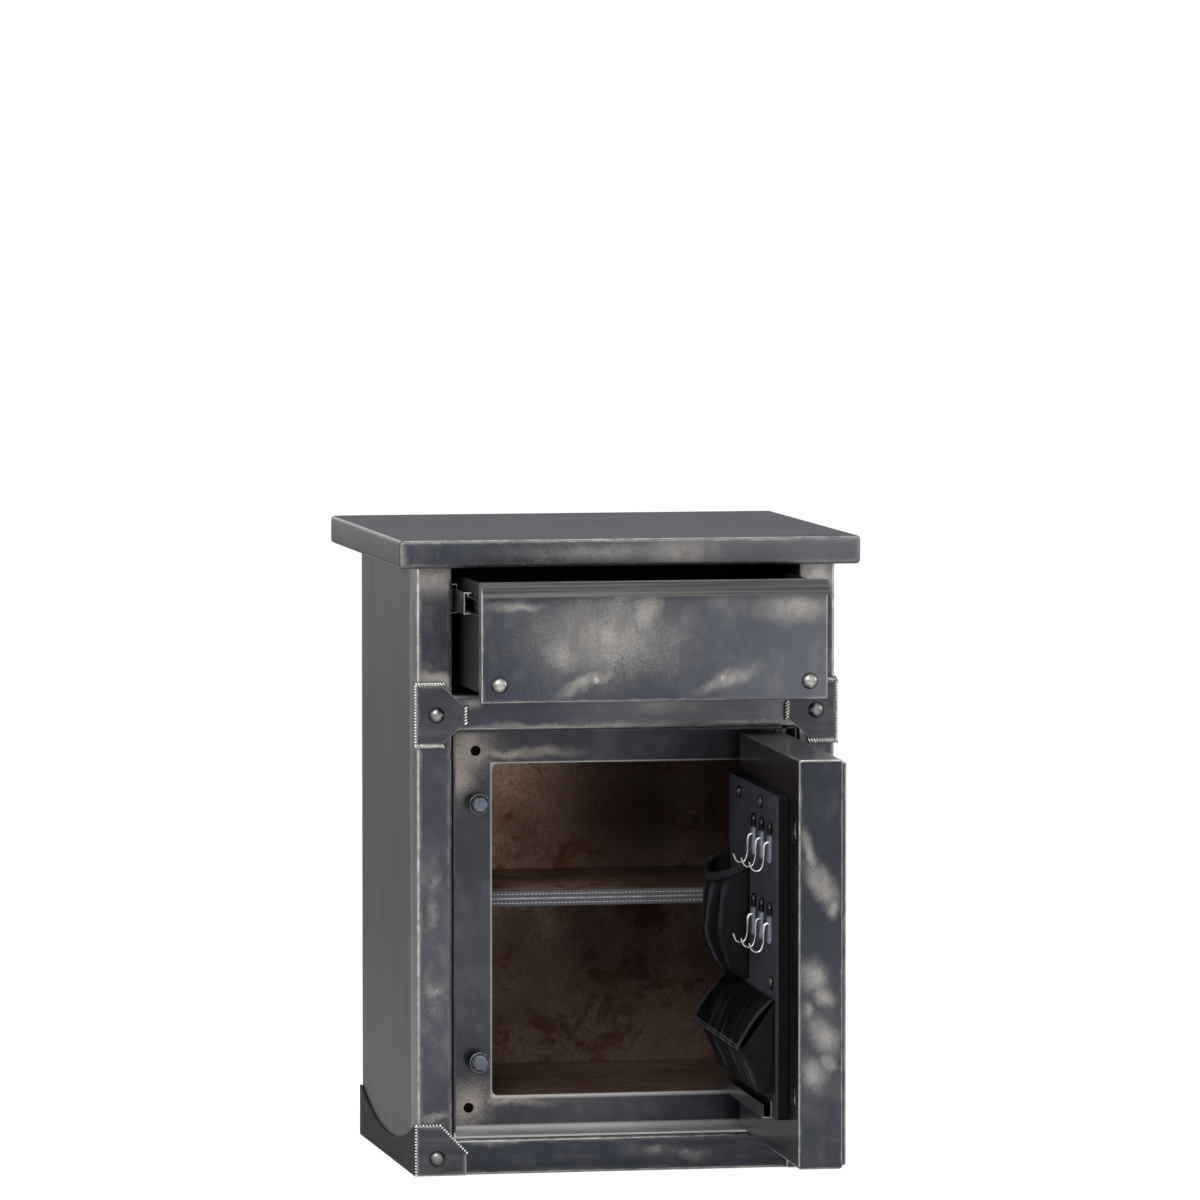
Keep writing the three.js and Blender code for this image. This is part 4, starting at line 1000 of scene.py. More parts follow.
slabLook = {
    "edge": {
        "patches": [
            {"at": (-20, -233, 745), "size": (170, 24, 16), "faint": 0.3},
            {"at": (60, -233, 745), "size": (60, 20, 18), "faint": 0.05},
            {"at": (-279, -233, 745), "size": (8, 8, 30)},
            {"at": (0, -233, 727.5), "size": (600, 10, 4), "faint": 0.1},
            {"at": (0, -233, 760.5), "size": (600, 10, 3), "faint": 0.2},
        ],
        "fade": {"from": -140, "to": 120, "tone": (106, 107, 114)},
        "swipe": {"scale": (60, 20, 9), "turn": 0},
        "wearWidth": 9.0,
        "mottle": 0.12,
        "warp": 0.015,
        "seed": 11.0,
    },
    "top": {
        "blue": [(63, 63, 70), (71, 71, 78)],
        "worn": [(80, 80, 86), (90, 89, 94)],
        "mottle": 0.1,
        "metallic": 0.1,
        "roughness": 0.6,
        "specular": 0.05,
        "coat": 0.0,
        "seed": 12.0,
    },
    "side": {
        "blue": [(44, 45, 53), (55, 56, 64)],
        "worn": [(74, 74, 80), (94, 93, 97)],
        "wearWidth": 7.0,
        "edgeShare": 0.6,
        "mottle": 0.15,
        "metallic": 0.74,
        "roughness": 0.4,
        "coat": 0.04,
        "seed": 13.0,
    },
}


def makeSlab():
    edges = boxOf("top_slab")
    edge = steelFinish("slabEdgeSteel", edges=edges, **slabLook["edge"])
    top = steelFinish("slabTopSteel", **slabLook["top"])
    side = steelFinish("slabSideSteel", edges=edges, **slabLook["side"])
    piece = dressNode("top_slab", "cabinet", [edge, top, side, slabCorner], 0.8)
    markFaces(piece, 1, lambda at, normal: abs(normal.z) > 0.9)
    markFaces(piece, 2, lambda at, normal: abs(normal.x) > 0.9 or normal.y > 0.9)
    # Front bevels: a dim line of worn steel and painted highlight
    markFaces(piece, 3, lambda at, normal: 0.4 < -normal.y < 0.9)


makeSlab()

frameLook = {
    "pan": {
        "patches": [
            {"at": (-188, -132, 506), "size": (34, 60, 26), "faint": -0.25},
            {"at": (-188, -132, 474), "size": (16, 60, 34), "faint": -0.1},
            {"at": (-120, -132, 499), "size": (70, 60, 6)},
            {"at": (-178, -132, 74), "size": (30, 60, 26), "faint": -0.1},
            {"at": (-130, -132, 78), "size": (60, 60, 7), "faint": 0.1},
        ],
        # The opening's rim and the bend near its foot get a painted highlight line
        "mouth": {"low": (-151.1, 86), "high": (200, 486.5), "bend": 48.5},
        "blue": [(56, 57, 64), (67, 68, 76)],
        "worn": [(128, 121, 114), (184, 174, 164)],
        "swipe": {"scale": (34, 34, 14), "turn": 10},
        "mottle": 0.1,
        "warp": 0.025,
        "seed": 12.0,
    },
    # Painted light: the sill's upward faces take a much lighter steel than the pan
    "sill": {
        "blue": [(150, 150, 157), (196, 196, 202)],
        "worn": [(206, 204, 202), (232, 230, 227)],
        "mottle": 0.5,
        "metallic": 0.25,
        "roughness": 0.36,
        "seed": 14.0,
    },
    "sillBelow": 60,
    "holes": [(-170.7, 502.2), (-179.6, 71.8)],
    "hole": {"radius": 8, "depth": 1},
    "behind": -127.8,  # depth of the black discs behind the jamb's round holes, painted shade for their inside
}


def makeDoorFrame():
    look = frameLook
    finishes = [steelFinish("panSteel", **look["pan"]), bareCorner, steelFinish("sillSteel", **look["sill"])]
    pan = dressNode("door_frame", "cabinet", finishes, 1.3, 3)
    # The sill's upward faces: painted light
    markFaces(pan, 2, lambda at, normal: normal.z > 0.9 and at.z < look["sillBelow"])
    # The pan's front bevels: worn bare steel with a painted highlight
    markFaces(pan, 1, lambda at, normal: 0.3 < -normal.y < 0.93)
    # Black discs behind the jamb's round holes: painted shade
    black = powderCoat("holeBlack", (6, 6, 7), (12, 12, 13), 0.7, specular=0.1)
    radius, depth = look["hole"]["radius"], look["hole"]["depth"]
    disc = lathe("jambHoleBack", [(0, 0), (radius, 0), (radius, depth), (0, depth)], 32)
    places = [facing(mm(x, look["behind"], z), (0, -1, 0)) for x, z in look["holes"]]
    itemsAt("jambHoleBacks", disc, places, black, "cabinet")


makeDoorFrame()
for node in ("strike_stud_upper", "strike_stud_lower"):
    stud = dressNode(node, "cabinet", [studMetal, studHead, studEdge], 0.7)
    front = boxOf(node)[0][1]
    markFaces(stud, 1, lambda at, normal: at.y < front + 0.8)
    # The bevels of head and washer: a painted glint
    markFaces(stud, 2, lambda at, normal: 0.3 < -normal.y < 0.93)
for node in ("pivot_pin_lower", "pivot_pin_upper"):
    dressNode(node, "cabinet", pinMetal, 0.5)
for node in ("safe_floor", "left_lining", "right_lining", "back_lining"):
    dressNode(node, "cabinet", rustLining, 0.7)
dressNode("shelf", "cabinet", rustLining, 0.7, name="shelfBoard")
print("cabinet dressed")

# Gusset plates, weld beads and rivets

gussetLook = {
    "edge": 255.3,
    "back": -203.3,
    "sheet": 3.0,
    "middle": [(0, 586.5), (31, 586.5), (60, 560.5), (60, 542.5), (31, 516.5), (0, 516.5)],
    "foot": [(0, 0), (60, 0), (60, 27), (28, 60), (0, 60)],
    "rivetFromEdge": 24.7,
    "rivetHeights": {"middle": 551.5, "foot": 21.0},
    "inside": {"middle": 551.5, "foot": 25},  # a height within each plate, which its seams run round
    # Half length, half width and height of one ripple, its lie across the seam,
    # and the seam's way outside the plate
    "beads": {
        "rope": {"size": (1.75, 4.4, 3.3), "twist": 34, "step": 3.1, "outside": 1.9, "metal": ropeMetal},
        "dots": {"size": (1.55, 2.1, 2.9), "twist": 0, "step": 3.5, "outside": 0.5, "metal": dotMetal},
    },
    "rivet": (9.5, 5.5),  # radius and height
    "steel": {"wearWidth": 5.0, "blue": [(62, 64, 71), (76, 78, 85)]},
    "sunk": 0.5,  # how far the seams lie behind the plate's face
    "welds": {
        "middle": [
            ("rope", [(0, 586.5), (33, 586.5)]),
            ("dots", [(0, 516.5), (0, 586.5)]),
            ("rope", [(58.6, 542.5), (58.6, 560.5)]),
            ("rope", [(0, 516.5), (33, 516.5)]),
        ],
        "foot": [("dots", [(0, 2), (0, 60)]), ("dots", [(0, 60), (28, 60), (60, 27)])],
    },
}


def prismMesh(name, outline, near, far):
    # A plate from an outline of (x, z) in mm between two depths
    points = [mm(x, depth, z) for depth in (near, far) for x, z in outline]
    return meshOf(name, points, prismFaces(len(outline)))


def ripple(name, size, twist):
    mesh = beadMesh(name, 12)
    scale = Matrix.Diagonal((size[0] / 1000, size[1] / 1000, size[2] / 1000, 1))
    mesh.transform(Matrix.Rotation(math.radians(twist), 4, "Z") @ scale)
    return mesh


def rivetHead(name, radius, height):
    angles = [math.pi / 2 * i / 9 for i in range(1, 9)]
    profile = [(0, -1.2), (radius * 0.98, -1.2), (radius * 1.01, 0.1)]
    profile += [(radius * math.cos(a) ** 0.85, height * math.sin(a) ** 0.95) for a in angles]
    return lathe(name, [*profile, (0, height)], 40)


def seamLine(a, b, inside, outside):
    # Points along a seam in metres, moved out from the plate, and the way that its beads face
    along = (b - a).normalized()
    away = along.cross(Vector((0, 1, 0)))
    if away.dot((a + b) / 2 - inside) < 0:
        away = -away
    up = (away * 0.35 + Vector((0, -0.93, 0))).normalized()
    count = max(2, int((b - a).length / 4))
    return [mm(*(a.lerp(b, i / count) + away * outside)) for i in range(count + 1)], tuple(up)


def makeGusset(side, sign, level):
    look = gussetLook
    near = look["back"] - look["sheet"]
    outline = [(sign * (look["edge"] - run), z) for run, z in look[level]]
    name = side + level.capitalize() + "Gusset"
    plate = newObject(name, prismMesh(name, outline, near, look["back"]))
    softenEdges(plate, 1.4, 3)
    seed = 20.0 + 3 * sign + (level == "foot")
    xs, zs = zip(*outline)
    edges = ((min(xs), near, min(zs)), (max(xs), look["back"] + 30, max(zs)))
    finish = steelFinish(name + "Steel", edges=edges, seed=seed, **look["steel"])
    finishPiece(plate, "cabinet", [finish, gussetCorner], f"{side}_{level}_gusset")
    # The front bevels: worn steel with a painted highlight
    markFaces(plate, 1, lambda at, normal: isBevel(normal) and at.y < near + 1.6)
    inside = Vector((sign * (look["edge"] - 25), look["back"], look["inside"][level]))
    paths = {}
    for kind, run in look["welds"][level]:
        corners = [Vector((sign * (look["edge"] - r), near + look["sunk"], z)) for r, z in run]
        for a, b in zip(corners, corners[1:]):
            paths.setdefault(kind, []).append(seamLine(a, b, inside, look["beads"][kind]["outside"]))
    for kind, lines in paths.items():
        bead = look["beads"][kind]
        mesh = ripple(name + "Ripple", bead["size"], bead["twist"])
        weld = name + kind.capitalize() + "Weld"
        itemsAlong(weld, mesh, lines, bead["step"], bead["metal"], "cabinet", seed=int(seed))


def makeGussets():
    look = gussetLook
    for side, sign in (("left", -1), ("right", 1)):
        for level in ("middle", "foot"):
            makeGusset(side, sign, level)
    near = look["back"] - look["sheet"]
    places = [
        facing(mm(sign * (look["edge"] - look["rivetFromEdge"]), near, z), (0, -1, 0))
        for sign in (-1, 1)
        for z in look["rivetHeights"].values()
    ]
    head = rivetHead("gussetRivet", *look["rivet"])
    itemsAt("gussetRivets", head, places, rivetMetal, "cabinet")


makeGussets()
print("gussets welded")

# Shelf trim: padded black strip, a bright piping and two stitched rows

trimLook = {
    "front": -81.5,
    "half": 243.7,
    "rows": (312.6, 323.4),
    "rowEnd": 3,  # how far a row stops short of the trim's end
    "stitch": (1.7, 0.55, 0.45),
    "step": 4.6,
    "piping": {"height": 318.0, "thick": 2.0},
}


def trimFinish():
    material, tree, shader = newMaterial("blackLeather", Specular_IOR_Level=0.5)
    place = homeCoords(tree)
    grain = addNode(tree, "ShaderNodeTexVoronoi", {"Vector": place, "Scale": 900.0}, feature="F1").outputs[0]
    soft = clouds(tree, place, 60.0, 3.0, 0.5)
    color = blendColor(tree, remap(tree, grain, 0.1, 0.7, 0.0, 1.0), tone(42, 43, 47), tone(88, 89, 94))
    satin = satinOf(tree, soft, 0.38, 0.52)
    plug(tree, shader, Base_Color=color, Roughness=satin, Normal=bump(tree, grain, 0.00018))
    return material


def threadFinish(name, low, high):
    material, tree, shader = newMaterial(name, Sheen_Weight=0.3, Specular_IOR_Level=0.4)
    place = addNode(tree, "ShaderNodeTexCoord").outputs["Object"]
    twist = addNode(
        tree,
        "ShaderNodeTexWave",
        {"Vector": place, "Scale": 900.0, "Distortion": 2.0},
        bands_direction="DIAGONAL",
    ).outputs[1]
    soft = clouds(tree, place, 300.0, 3.0, 0.6)
    color = blendColor(tree, twist, tone(*low), tone(*high))
    plug(
        tree,
        shader,
        Base_Color=color,
        Roughness=satinOf(tree, soft, 0.55, 0.8),
        Normal=bump(tree, twist, 0.0001),
    )
    return material


def stitchMesh(name, size):
    half, wide, high = (v / 1000 for v in size)
    mesh = beadMesh(name, 8)
    mesh.transform(Matrix.Rotation(math.pi / 2, 4, "Y"))
    mesh.transform(Matrix.Diagonal((half, wide, high, 1)))
    return mesh


def makeShelfTrim():
    look = trimLook
    dressNode("shelf_trim", "cabinet", trimFinish(), 0.4)
    white = threadFinish("paleThread", (176, 176, 174), (232, 232, 230))
    end, front = look["half"] - look["rowEnd"], look["front"] - 0.1
    paths = [([mm(-end, front, z), mm(end, front, z)], (0, -1, 0)) for z in look["rows"]]
    stitch = stitchMesh("trimStitch", look["stitch"])
    itemsAlong("trimStitches", stitch, paths, look["step"], white, "cabinet", 0.06)
    height = look["piping"]["height"]
    line = [mm(x, look["front"] + 0.1, height) for x in (-end - 2, end + 2)]
    piping = newObject("trimPiping", tubeMesh("trimPiping", line, look["piping"]["thick"]))
    foil = plainMetal("pipingFoil", (120, 122, 126), (198, 200, 204), 0.6, 0.3, 90.0)
    finishPiece(piping, "cabinet", foil)


makeShelfTrim()

# Drawer and slides

drawerLook = {
    "steel": {
        "patches": [
            {"at": (-165, -381, 692), "size": (46, 20, 8), "faint": 0.15},
            {"at": (-56, -381, 654), "size": (92, 20, 54), "faint": 0.05},
            {"at": (-104, -381, 634), "size": (40, 20, 30), "faint": 0.1},
            {"at": (-12, -381, 680), "size": (16, 20, 40), "tilt": 8},
            {"at": (-76, -381, 602), "size": (36, 20, 7), "tilt": -22, "faint": -0.2},
            {"at": (88, -381, 605), "size": (36, 20, 7), "tilt": -22, "faint": -0.2},
            {"at": (-38, -381, 696), "size": (26, 20, 7), "tilt": -20, "faint": 0.15},
            {"at": (170, -381, 687), "size": (38, 20, 14), "faint": -0.2},
        ],
        "swipe": {"scale": (44, 20, 15), "turn": 18},
        "blue": [(62, 66, 75), (76, 80, 89)],
        "fade": {"from": -40, "to": 190, "tone": (102, 105, 113)},
        "seed": 31.0,
        "mottle": 0.22,
        "wearWidth": 5.0,
    },
    "front": -381,  # the panel's face
    "panelTop": 699.5,
    "pull": {"low": (56, 58, 60), "high": (98, 98, 96), "lines": (3, 3, 900)},
    "rivets": [(-185.7, 600.0), (185.7, 600.0)],
    "rivet": (9.8, 5.7),  # radius and height
    "spotWelds": [(-70, 604), (82, 604)],
    "spotWeld": (3.4, 0.6),
}


def pullFinish(look):
    material, tree, shader = newMaterial("pullSteel", Metallic=0.85, Coat_Weight=0.2, Coat_Roughness=0.12)
    place = homeCoords(tree)
    wide = clouds(tree, stretch(tree, place, (2.5, 120, 240)), 1.0, 3.0, 0.6)
    thin = clouds(tree, stretch(tree, place, look["lines"]), 1.0, 5.0, 0.7)
    lines = weigh(tree, (wide, 0.6), (thin, 0.4))
    color = blendColor(
        tree, remap(tree, lines, 0.38, 0.64, 0.0, 1.0), tone(*look["low"]), tone(*look["high"])
    )
    plug(
        tree,
        shader,
        Base_Color=color,
        Roughness=satinOf(tree, thin, 0.26, 0.42),
        Normal=bump(tree, thin, 0.00006),
    )
    return material


def makeDrawer():
    look = drawerLook
    face = look["front"]
    low, high = boxOf("drawer_front")
    edges = ((low[0], face, low[2]), (high[0], high[1] + 40, 760))
    panel = steelFinish("drawerSteel", edges=edges, **look["steel"])
    finishes = [panel, pullFinish(look["pull"]), bareCorner]
    front = dressNode("drawer_front", "drawer", finishes, 0.9)
    markFaces(front, 1, lambda at, normal: at.z > look["panelTop"] and at.y < face + 2)
    # The panel's bevels: worn bare steel with a painted highlight
    markFaces(front, 2, lambda at, normal: isBevel(normal) and at.z < look["panelTop"] and at.y < face + 1.5)
    dressNode("drawer_box", "drawer", blackPowder, 0.4)
    for name, item, spots, size, metal in (
        ("drawerRivets", "drawerRivet", look["rivets"], look["rivet"], drawerRivetMetal),
        ("drawerSpotWelds", "spotWeld", look["spotWelds"], look["spotWeld"], spotMetal),
    ):
        places = [facing(mm(x, face, z), (0, -1, 0)) for x, z in spots]
        itemsAt(name, rivetHead(item, *size), places, metal, "drawer")


def makeSlides():
    for side in ("left", "right"):
        for part, body in (("outer", "cabinet"), ("middle", f"slide_middle_{side}"), ("inner", "drawer")):
            member = dressNode(f"slide_{part}_{side}", body, [slideMetal, slideEdge], 0.25, 1)
            markFaces(member, 1, lambda at, normal: normal.y < -0.5)  # the cut ends, a painted highlight; the rest stays dark as painted shade


makeDrawer()
makeSlides()
print("drawer dressed")

# Door: shell, outer plate, latch and its parts

doorLook = {
    "shell": ((-203, -197.8, 47.5), (203, -145, 524.5)),
    "plate": ((-199, -201.8, 51.5), (199, -150, 520.5)),
    "cornerFrom": {"x": 197, "low": 53.5, "high": 518.5},  # bevels beyond these are worn bare and carry a painted highlight
    "side": {
        "patches": [
            {"at": (-203, -157, 418), "size": (20, 7, 26), "lean": -18},
            {"at": (-203, -172, 380), "size": (20, 14, 30), "lean": -30},
            {"at": (-203, -185, 352), "size": (20, 8, 14), "faint": 0.15},
            {"at": (-203, -164, 272), "size": (20, 15, 20), "lean": -30},
            {"at": (-203, -176, 250), "size": (20, 11, 15), "lean": -20},
            {"at": (-203, -158, 232), "size": (20, 8, 12), "faint": 0.2},
            {"at": (-203, -176, 204), "size": (20, 15, 24), "lean": -30},
            {"at": (-203, -163, 158), "size": (20, 15, 22), "lean": -20},
            {"at": (-203, -181, 172), "size": (20, 10, 14), "faint": 0.1},
        ],
        "blue": [(50, 53, 60), (60, 63, 71)],
        "swipe": {"scale": (11, 40, 30), "turn": 0},
        "wearWidth": 4.0,
        "mottle": 0.1,
        "warp": 0.02,
        "seed": 41.0,
    },
    "skin": {
        "blue": [(20, 22, 27), (28, 31, 37)],
        "worn": [(40, 42, 47), (58, 59, 63)],
        "mottle": 0.1,
        "metallic": 0.6,
        "coat": 0.1,
        "seed": 42.0,
    },
    # Top and bottom faces: a lighter blue than the sides, painted light
    "ends": {"blue": [(78, 79, 86), (94, 95, 101)], "wearWidth": 6.0, "mottle": 0.4, "seed": 44.0},
    "overlay": {"swipe": {"scale": (16, 11, 24), "turn": 25}, "wearWidth": 4.0, "mottle": 0.3, "seed": 43.0},
}


def makeDoor():
    look = doorLook
    side = steelFinish("doorSteel", "door", edges=look["shell"], **look["side"])
    skin = steelFinish("doorSkinSteel", "door", **look["skin"])
    ends = steelFinish("doorEndSteel", "door", edges=look["shell"], **look["ends"])
    body = dressNode("door_shell", "door", [side, skin, bareDoorCorner, ends], 0.9, 3)
    backToShut = doorTurn.inverted()
    shut = doorTurn.to_3x3().inverted()
    corner = look["cornerFrom"]

    def isCorner(at, normal):  # bevels along the outer edges
        x, _, z = backToShut @ (at / 1000) * 1000
        outer = abs(x) > corner["x"] or not corner["low"] < z < corner["high"]
        return outer and max(abs(v) for v in shut @ normal) < 0.9

    markFaces(body, 1, lambda at, normal: (shut @ normal).y > 0.9)
    # The outer bevels: worn bare steel with a painted highlight
    markFaces(body, 2, isCorner)
    # Top and bottom faces: painted light
    markFaces(body, 3, lambda at, normal: abs(normal.z) > 0.9)
    plate = steelFinish("overlaySteel", "door", edges=look["plate"], **look["overlay"])
    overlay = dressNode("door_overlay", "door", [plate, bareDoorCorner], 0.8)
    markFaces(overlay, 1, isCorner)
    dressNode("latch_bar", "latch_bar", zincMetal, 0.5)
    dressNode("latch_crank", "handle", zincMetal, 0.5)
    dressNode("lock_case", "door", zincMetal, 1.5, 3)


makeDoor()
print("door dressed")

# Combination dial, its ring and the lever handle

lockLook = {
    "dial": (0.0, 376.5),
    "lever": (0.0, 284.5),
    "back": 0.9,  # depth of the ring's back behind the cabinet's front
    # Profiles as radius and height, from the axis or the bore outwards
    "ring": [
        (4.8, 0), (46, 0), (46, 5.6), (45.4, 7.1), (44, 8), (41.2, 8),
        (39.2, 7.2), (38.2, 5.6), (38, 2.5), (4.8, 2.5), (4.8, 0),
    ],
    "ringTop": 8.0,
    "index": [(-1.6, 44.6), (1.6, 44.6), (0, 40.6)],
    "disc": [
        (0, 2.8), (36, 2.8), (37, 3.6), (37, 8.2), (36.2, 9.6), (31, 11.8), (22, 11.8), (20.5, 11.2),
        (18.6, 11.2), (17.4, 12.4), (17, 14), (17, 28.8), (16.2, 31), (14.6, 31.8), (11, 31.8), (9.6, 31.1),
        (0, 31.1),
    ],
    # Flat to a radius, then sloping to its edge
    "discTop": {"height": 11.8, "flatTo": 31, "edge": (36.2, 9.6)},
    "knob": {"from": 12.4, "to": 32.2, "beyond": 13},  # heights between which the grip is fluted
    "spindle": [(0, -51), (6.4, -51), (7, -50.2), (7, 1), (0, 1)],
    "flutes": 24,
    "fluteDepth": 1.0,
    "marks": {"count": 100, "radius": 34.2, "length": 2.0, "width": 0.42, "longEvery": 10, "longer": 2.1},
    "numerals": {"count": 10, "radius": 26.2, "height": 11.85, "size": 4.6, "step": 10},
    "rose": [
        (0, 0), (26, 0), (26, 4.6), (24.6, 6.4), (22.4, 7), (14, 7), (12.6, 7.6), (11, 9.4), (10, 12),
        (10, 25),
    ],
    "arm": {"length": 105, "wide": 10, "narrow": 7.2, "near": 22.7, "far": 33.7},
}


def lockPlace(center):
    # Z points out of the shut door's face, Y up, X to the right as seen from outside
    turn = Matrix(((1, 0, 0), (0, 0, -1), (0, 1, 0))).to_4x4()
    return doorTurn @ Matrix.Translation(mm(center[0], frontY + lockLook["back"], center[1])) @ turn


def satinBlack(name, low, high):
    material, tree, shader = newMaterial(name, Metallic=0.15, Coat_Weight=0.25, Coat_Roughness=0.2)
    place = homeCoords(tree, "door")
    fine = clouds(tree, place, 700.0, 3.0, 0.6)
    soft = clouds(tree, place, 50.0, 4.0, 0.6)
    color = blendColor(tree, remap(tree, soft, 0.35, 0.65, 0.0, 1.0), tone(*low), tone(*high))
    satin = satinOf(tree, soft, 0.29, 0.42)
    plug(tree, shader, Base_Color=color, Roughness=satin, Normal=bump(tree, fine, 0.00004))
    return material


def marksGroup():
    # Radial marks round a dial: every so many of them is longer
    sizes = {"Radius": 0.03, "Length": 0.002, "Width": 0.0004, "Longer": 2.0}
    sockets = [("Count", "Int", 100), ("Long Every", "Int", 10), ("Material", "Material", None)]
    sockets += [(label, "Float", value) for label, value in sizes.items()]
    group, given, ids = newGroup("dialMarks", sockets)

    def figure(operation, *values):
        return addNode(group, "ShaderNodeMath", dict(enumerate(values)), operation=operation).outputs[0]

    def point(**parts):
        inputs = {"xyz".index(axis): value for axis, value in parts.items()}
        return addNode(group, "ShaderNodeCombineXYZ", inputs).outputs[0]

    circle = addNode(group, "GeometryNodeMeshCircle", {"Vertices": given["Count"], "Radius": given["Radius"]})
    index = addNode(group, "GeometryNodeInputIndex").outputs[0]
    aim = point(z=figure("MULTIPLY", index, figure("DIVIDE", 2 * math.pi, given["Count"])))
    long = figure("LESS_THAN", figure("FLOORED_MODULO", index, given["Long Every"]), 0.5)
    size = point(x=figure("MULTIPLY_ADD", long, figure("SUBTRACT", given["Longer"], 1.0), 1.0), y=1.0, z=1.0)
    bar = point(x=given["Length"], y=given["Width"], z=0.00025)
    mark = addNode(group, "GeometryNodeMeshCube", {"Size": bar}).outputs[0]
    shift = point(x=figure("MULTIPLY", given["Length"], -0.5))
    fromRim = addNode(group, "GeometryNodeTransform", {"Geometry": mark, "Translation": shift}).outputs[0]
    inputs = {"Points": circle.outputs[0], "Instance": fromRim, "Rotation": aim, "Scale": size}
    closeGroup(group, given, addNode(group, "GeometryNodeInstanceOnPoints", inputs).outputs[0])
    return group, ids


def numeralMesh(text, size):
    curve = bpy.data.curves.new("numeral", "FONT")
    curve.body = text
    curve.size = size / 1000 * 1.35
    curve.align_x = "CENTER"
    curve.align_y = "CENTER"
    curve.extrude = 0.00012
    holder = newObject("numeral", curve)
    mesh = evaluatedMesh(holder)
    bpy.data.objects.remove(holder)
    return mesh


def makeRing(place, black, white):
    look = lockLook
    mesh = lathe("dialRing", look["ring"], 96)
    mesh.transform(place)
    markSharp(mesh)
    finishPiece(newObject("dialRing", mesh), "door", black, "dial_ring")
    index = prismMesh("dialIndex", look["index"], 0, 0.3)
    lying = Matrix(((1, 0, 0), (0, 0, 1), (0, -1, 0))).to_4x4()
    index.transform(place @ Matrix.Translation(mm(0, 0, look["ringTop"])) @ lying)
    finishPiece(newObject("dialIndex", index), "door", white)


def makeDisc(place, black):
    look, knob = lockLook, lockLook["knob"]
    points, faces = lathePoints(look["disc"], look["flutes"] * 8)
    fluted = []
    for x, y, h in points:
        r = math.hypot(x, y)
        if h > knob["beyond"] and r > knob["beyond"]:
            cut = look["fluteDepth"] * (0.5 - 0.5 * math.cos(math.atan2(y, x) * look["flutes"]))
            cut *= min(1, (h - knob["from"]) / 1.6)
            cut *= min(1, (knob["to"] - h) / 1.2)
            x, y = x * (r - cut) / r, y * (r - cut) / r
        fluted.append((x / 1000, y / 1000, h / 1000))
    disc = meshOf("combinationDial", fluted, faces)
    disc.transform(place)
    markSharp(disc)
    finishPiece(newObject("combinationDial", disc), "dial", black, "combination_dial")


def makeMarks(place, white):
    look, top = lockLook["marks"], lockLook["discTop"]
    group, ids = marksGroup()
    carrier = newObject("dialMarksCarrier", bpy.data.meshes.new("dialMarksCarrier"))
    values = {label.capitalize(): look[label] / 1000 for label in ("radius", "length", "width")}
    values |= {"Count": look["count"], "Long Every": look["longEvery"], "Longer": look["longer"]}
    values["Material"] = white
    ticks = runGroup("dialMarks", carrier, group, ids, values)
    edge, low = top["edge"]
    slope = (top["height"] - low) / (edge - top["flatTo"])
    for vertex in ticks.data.vertices:
        beyond = max(0, math.hypot(vertex.co.x, vertex.co.y) * 1000 - top["flatTo"])
        vertex.co.z += (top["height"] - beyond * slope) / 1000 + 0.00008
    ticks.data.transform(place)
    finishPiece(ticks, "dial", white)


def makeNumerals(place, white):
    look = lockLook["numerals"]
    meshes = []
    for k in range(look["count"]):
        mesh = numeralMesh(str(k * look["step"]), look["size"])
        turn = Matrix.Rotation(-2 * math.pi * k / look["count"], 4, "Z")
        mesh.transform(turn @ Matrix.Translation(mm(0, look["radius"], look["height"])))
        meshes.append(mesh)
    figures = joinMeshes("dialNumerals", meshes)
    figures.transform(place)
    finishPiece(newObject("dialNumerals", figures), "dial", white)


def makeLever(place, black):
    look, arm = lockLook, lockLook["arm"]
    rose = lathe("leverRose", look["rose"], 72)
    tip = -arm["length"] + arm["narrow"]
    outline = halfCircle(0, 0, arm["wide"], 0) + halfCircle(0, tip, arm["narrow"], math.pi)
    points = [mm(x, y, height) for height in (arm["near"], arm["far"]) for x, y in outline]
    armPiece = newObject("leverArm", meshOf("leverArm", points, prismFaces(len(outline))))
    softenEdges(armPiece, 3.2, 5, 50)
    markSharp(rose)
    spindle = lathe("leverSpindle", look["spindle"], 40)
    lever = joinMeshes("lever", [armPiece.data, rose, spindle])
    bpy.data.objects.remove(armPiece)
    lever.transform(place)
    markSharp(lever)
    finishPiece(newObject("lever", lever), "handle", black, "handle")


def makeLock():
    black = satinBlack("lockBlack", (16, 16, 18), (28, 28, 31))
    white = threadFinish("dialWhite", (214, 214, 210), (236, 236, 232))
    place = lockPlace(lockLook["dial"])
    makeRing(place, black, white)
    makeDisc(place, black)
    makeMarks(place, white)
    makeNumerals(place, white)
    makeLever(lockPlace(lockLook["lever"]), black)


makeLock()
print("lock made")

# Organizer: board, tray, hooks

boardLook = {
    "tray": {
        "blue": [(48, 50, 56), (62, 65, 71)],
        "worn": [(96, 94, 92), (136, 132, 128)],
        "wearWidth": 1.6,
        "mottle": 0.2,
        "seed": 51.0,
    },
    "stitch": (0.9, 0.42, 0.3),
    "step": 2.6,
    "left": -138,
    "heights": (97, 476),
    "surface": 71.1,  # depth of its outer face behind the cabinet's front
    "rim": (70.0, 70.75),  # depths between which its dark edge turns into its face
    "fasteners": [(-27, 460), (120, 460), (-101, 255)],
    "fastener": (7.5, 5.0),  # radius and height
    "seamInset": 1.4,
    "seamEnd": 5,  # how far the seam stops short of the board's ends
}


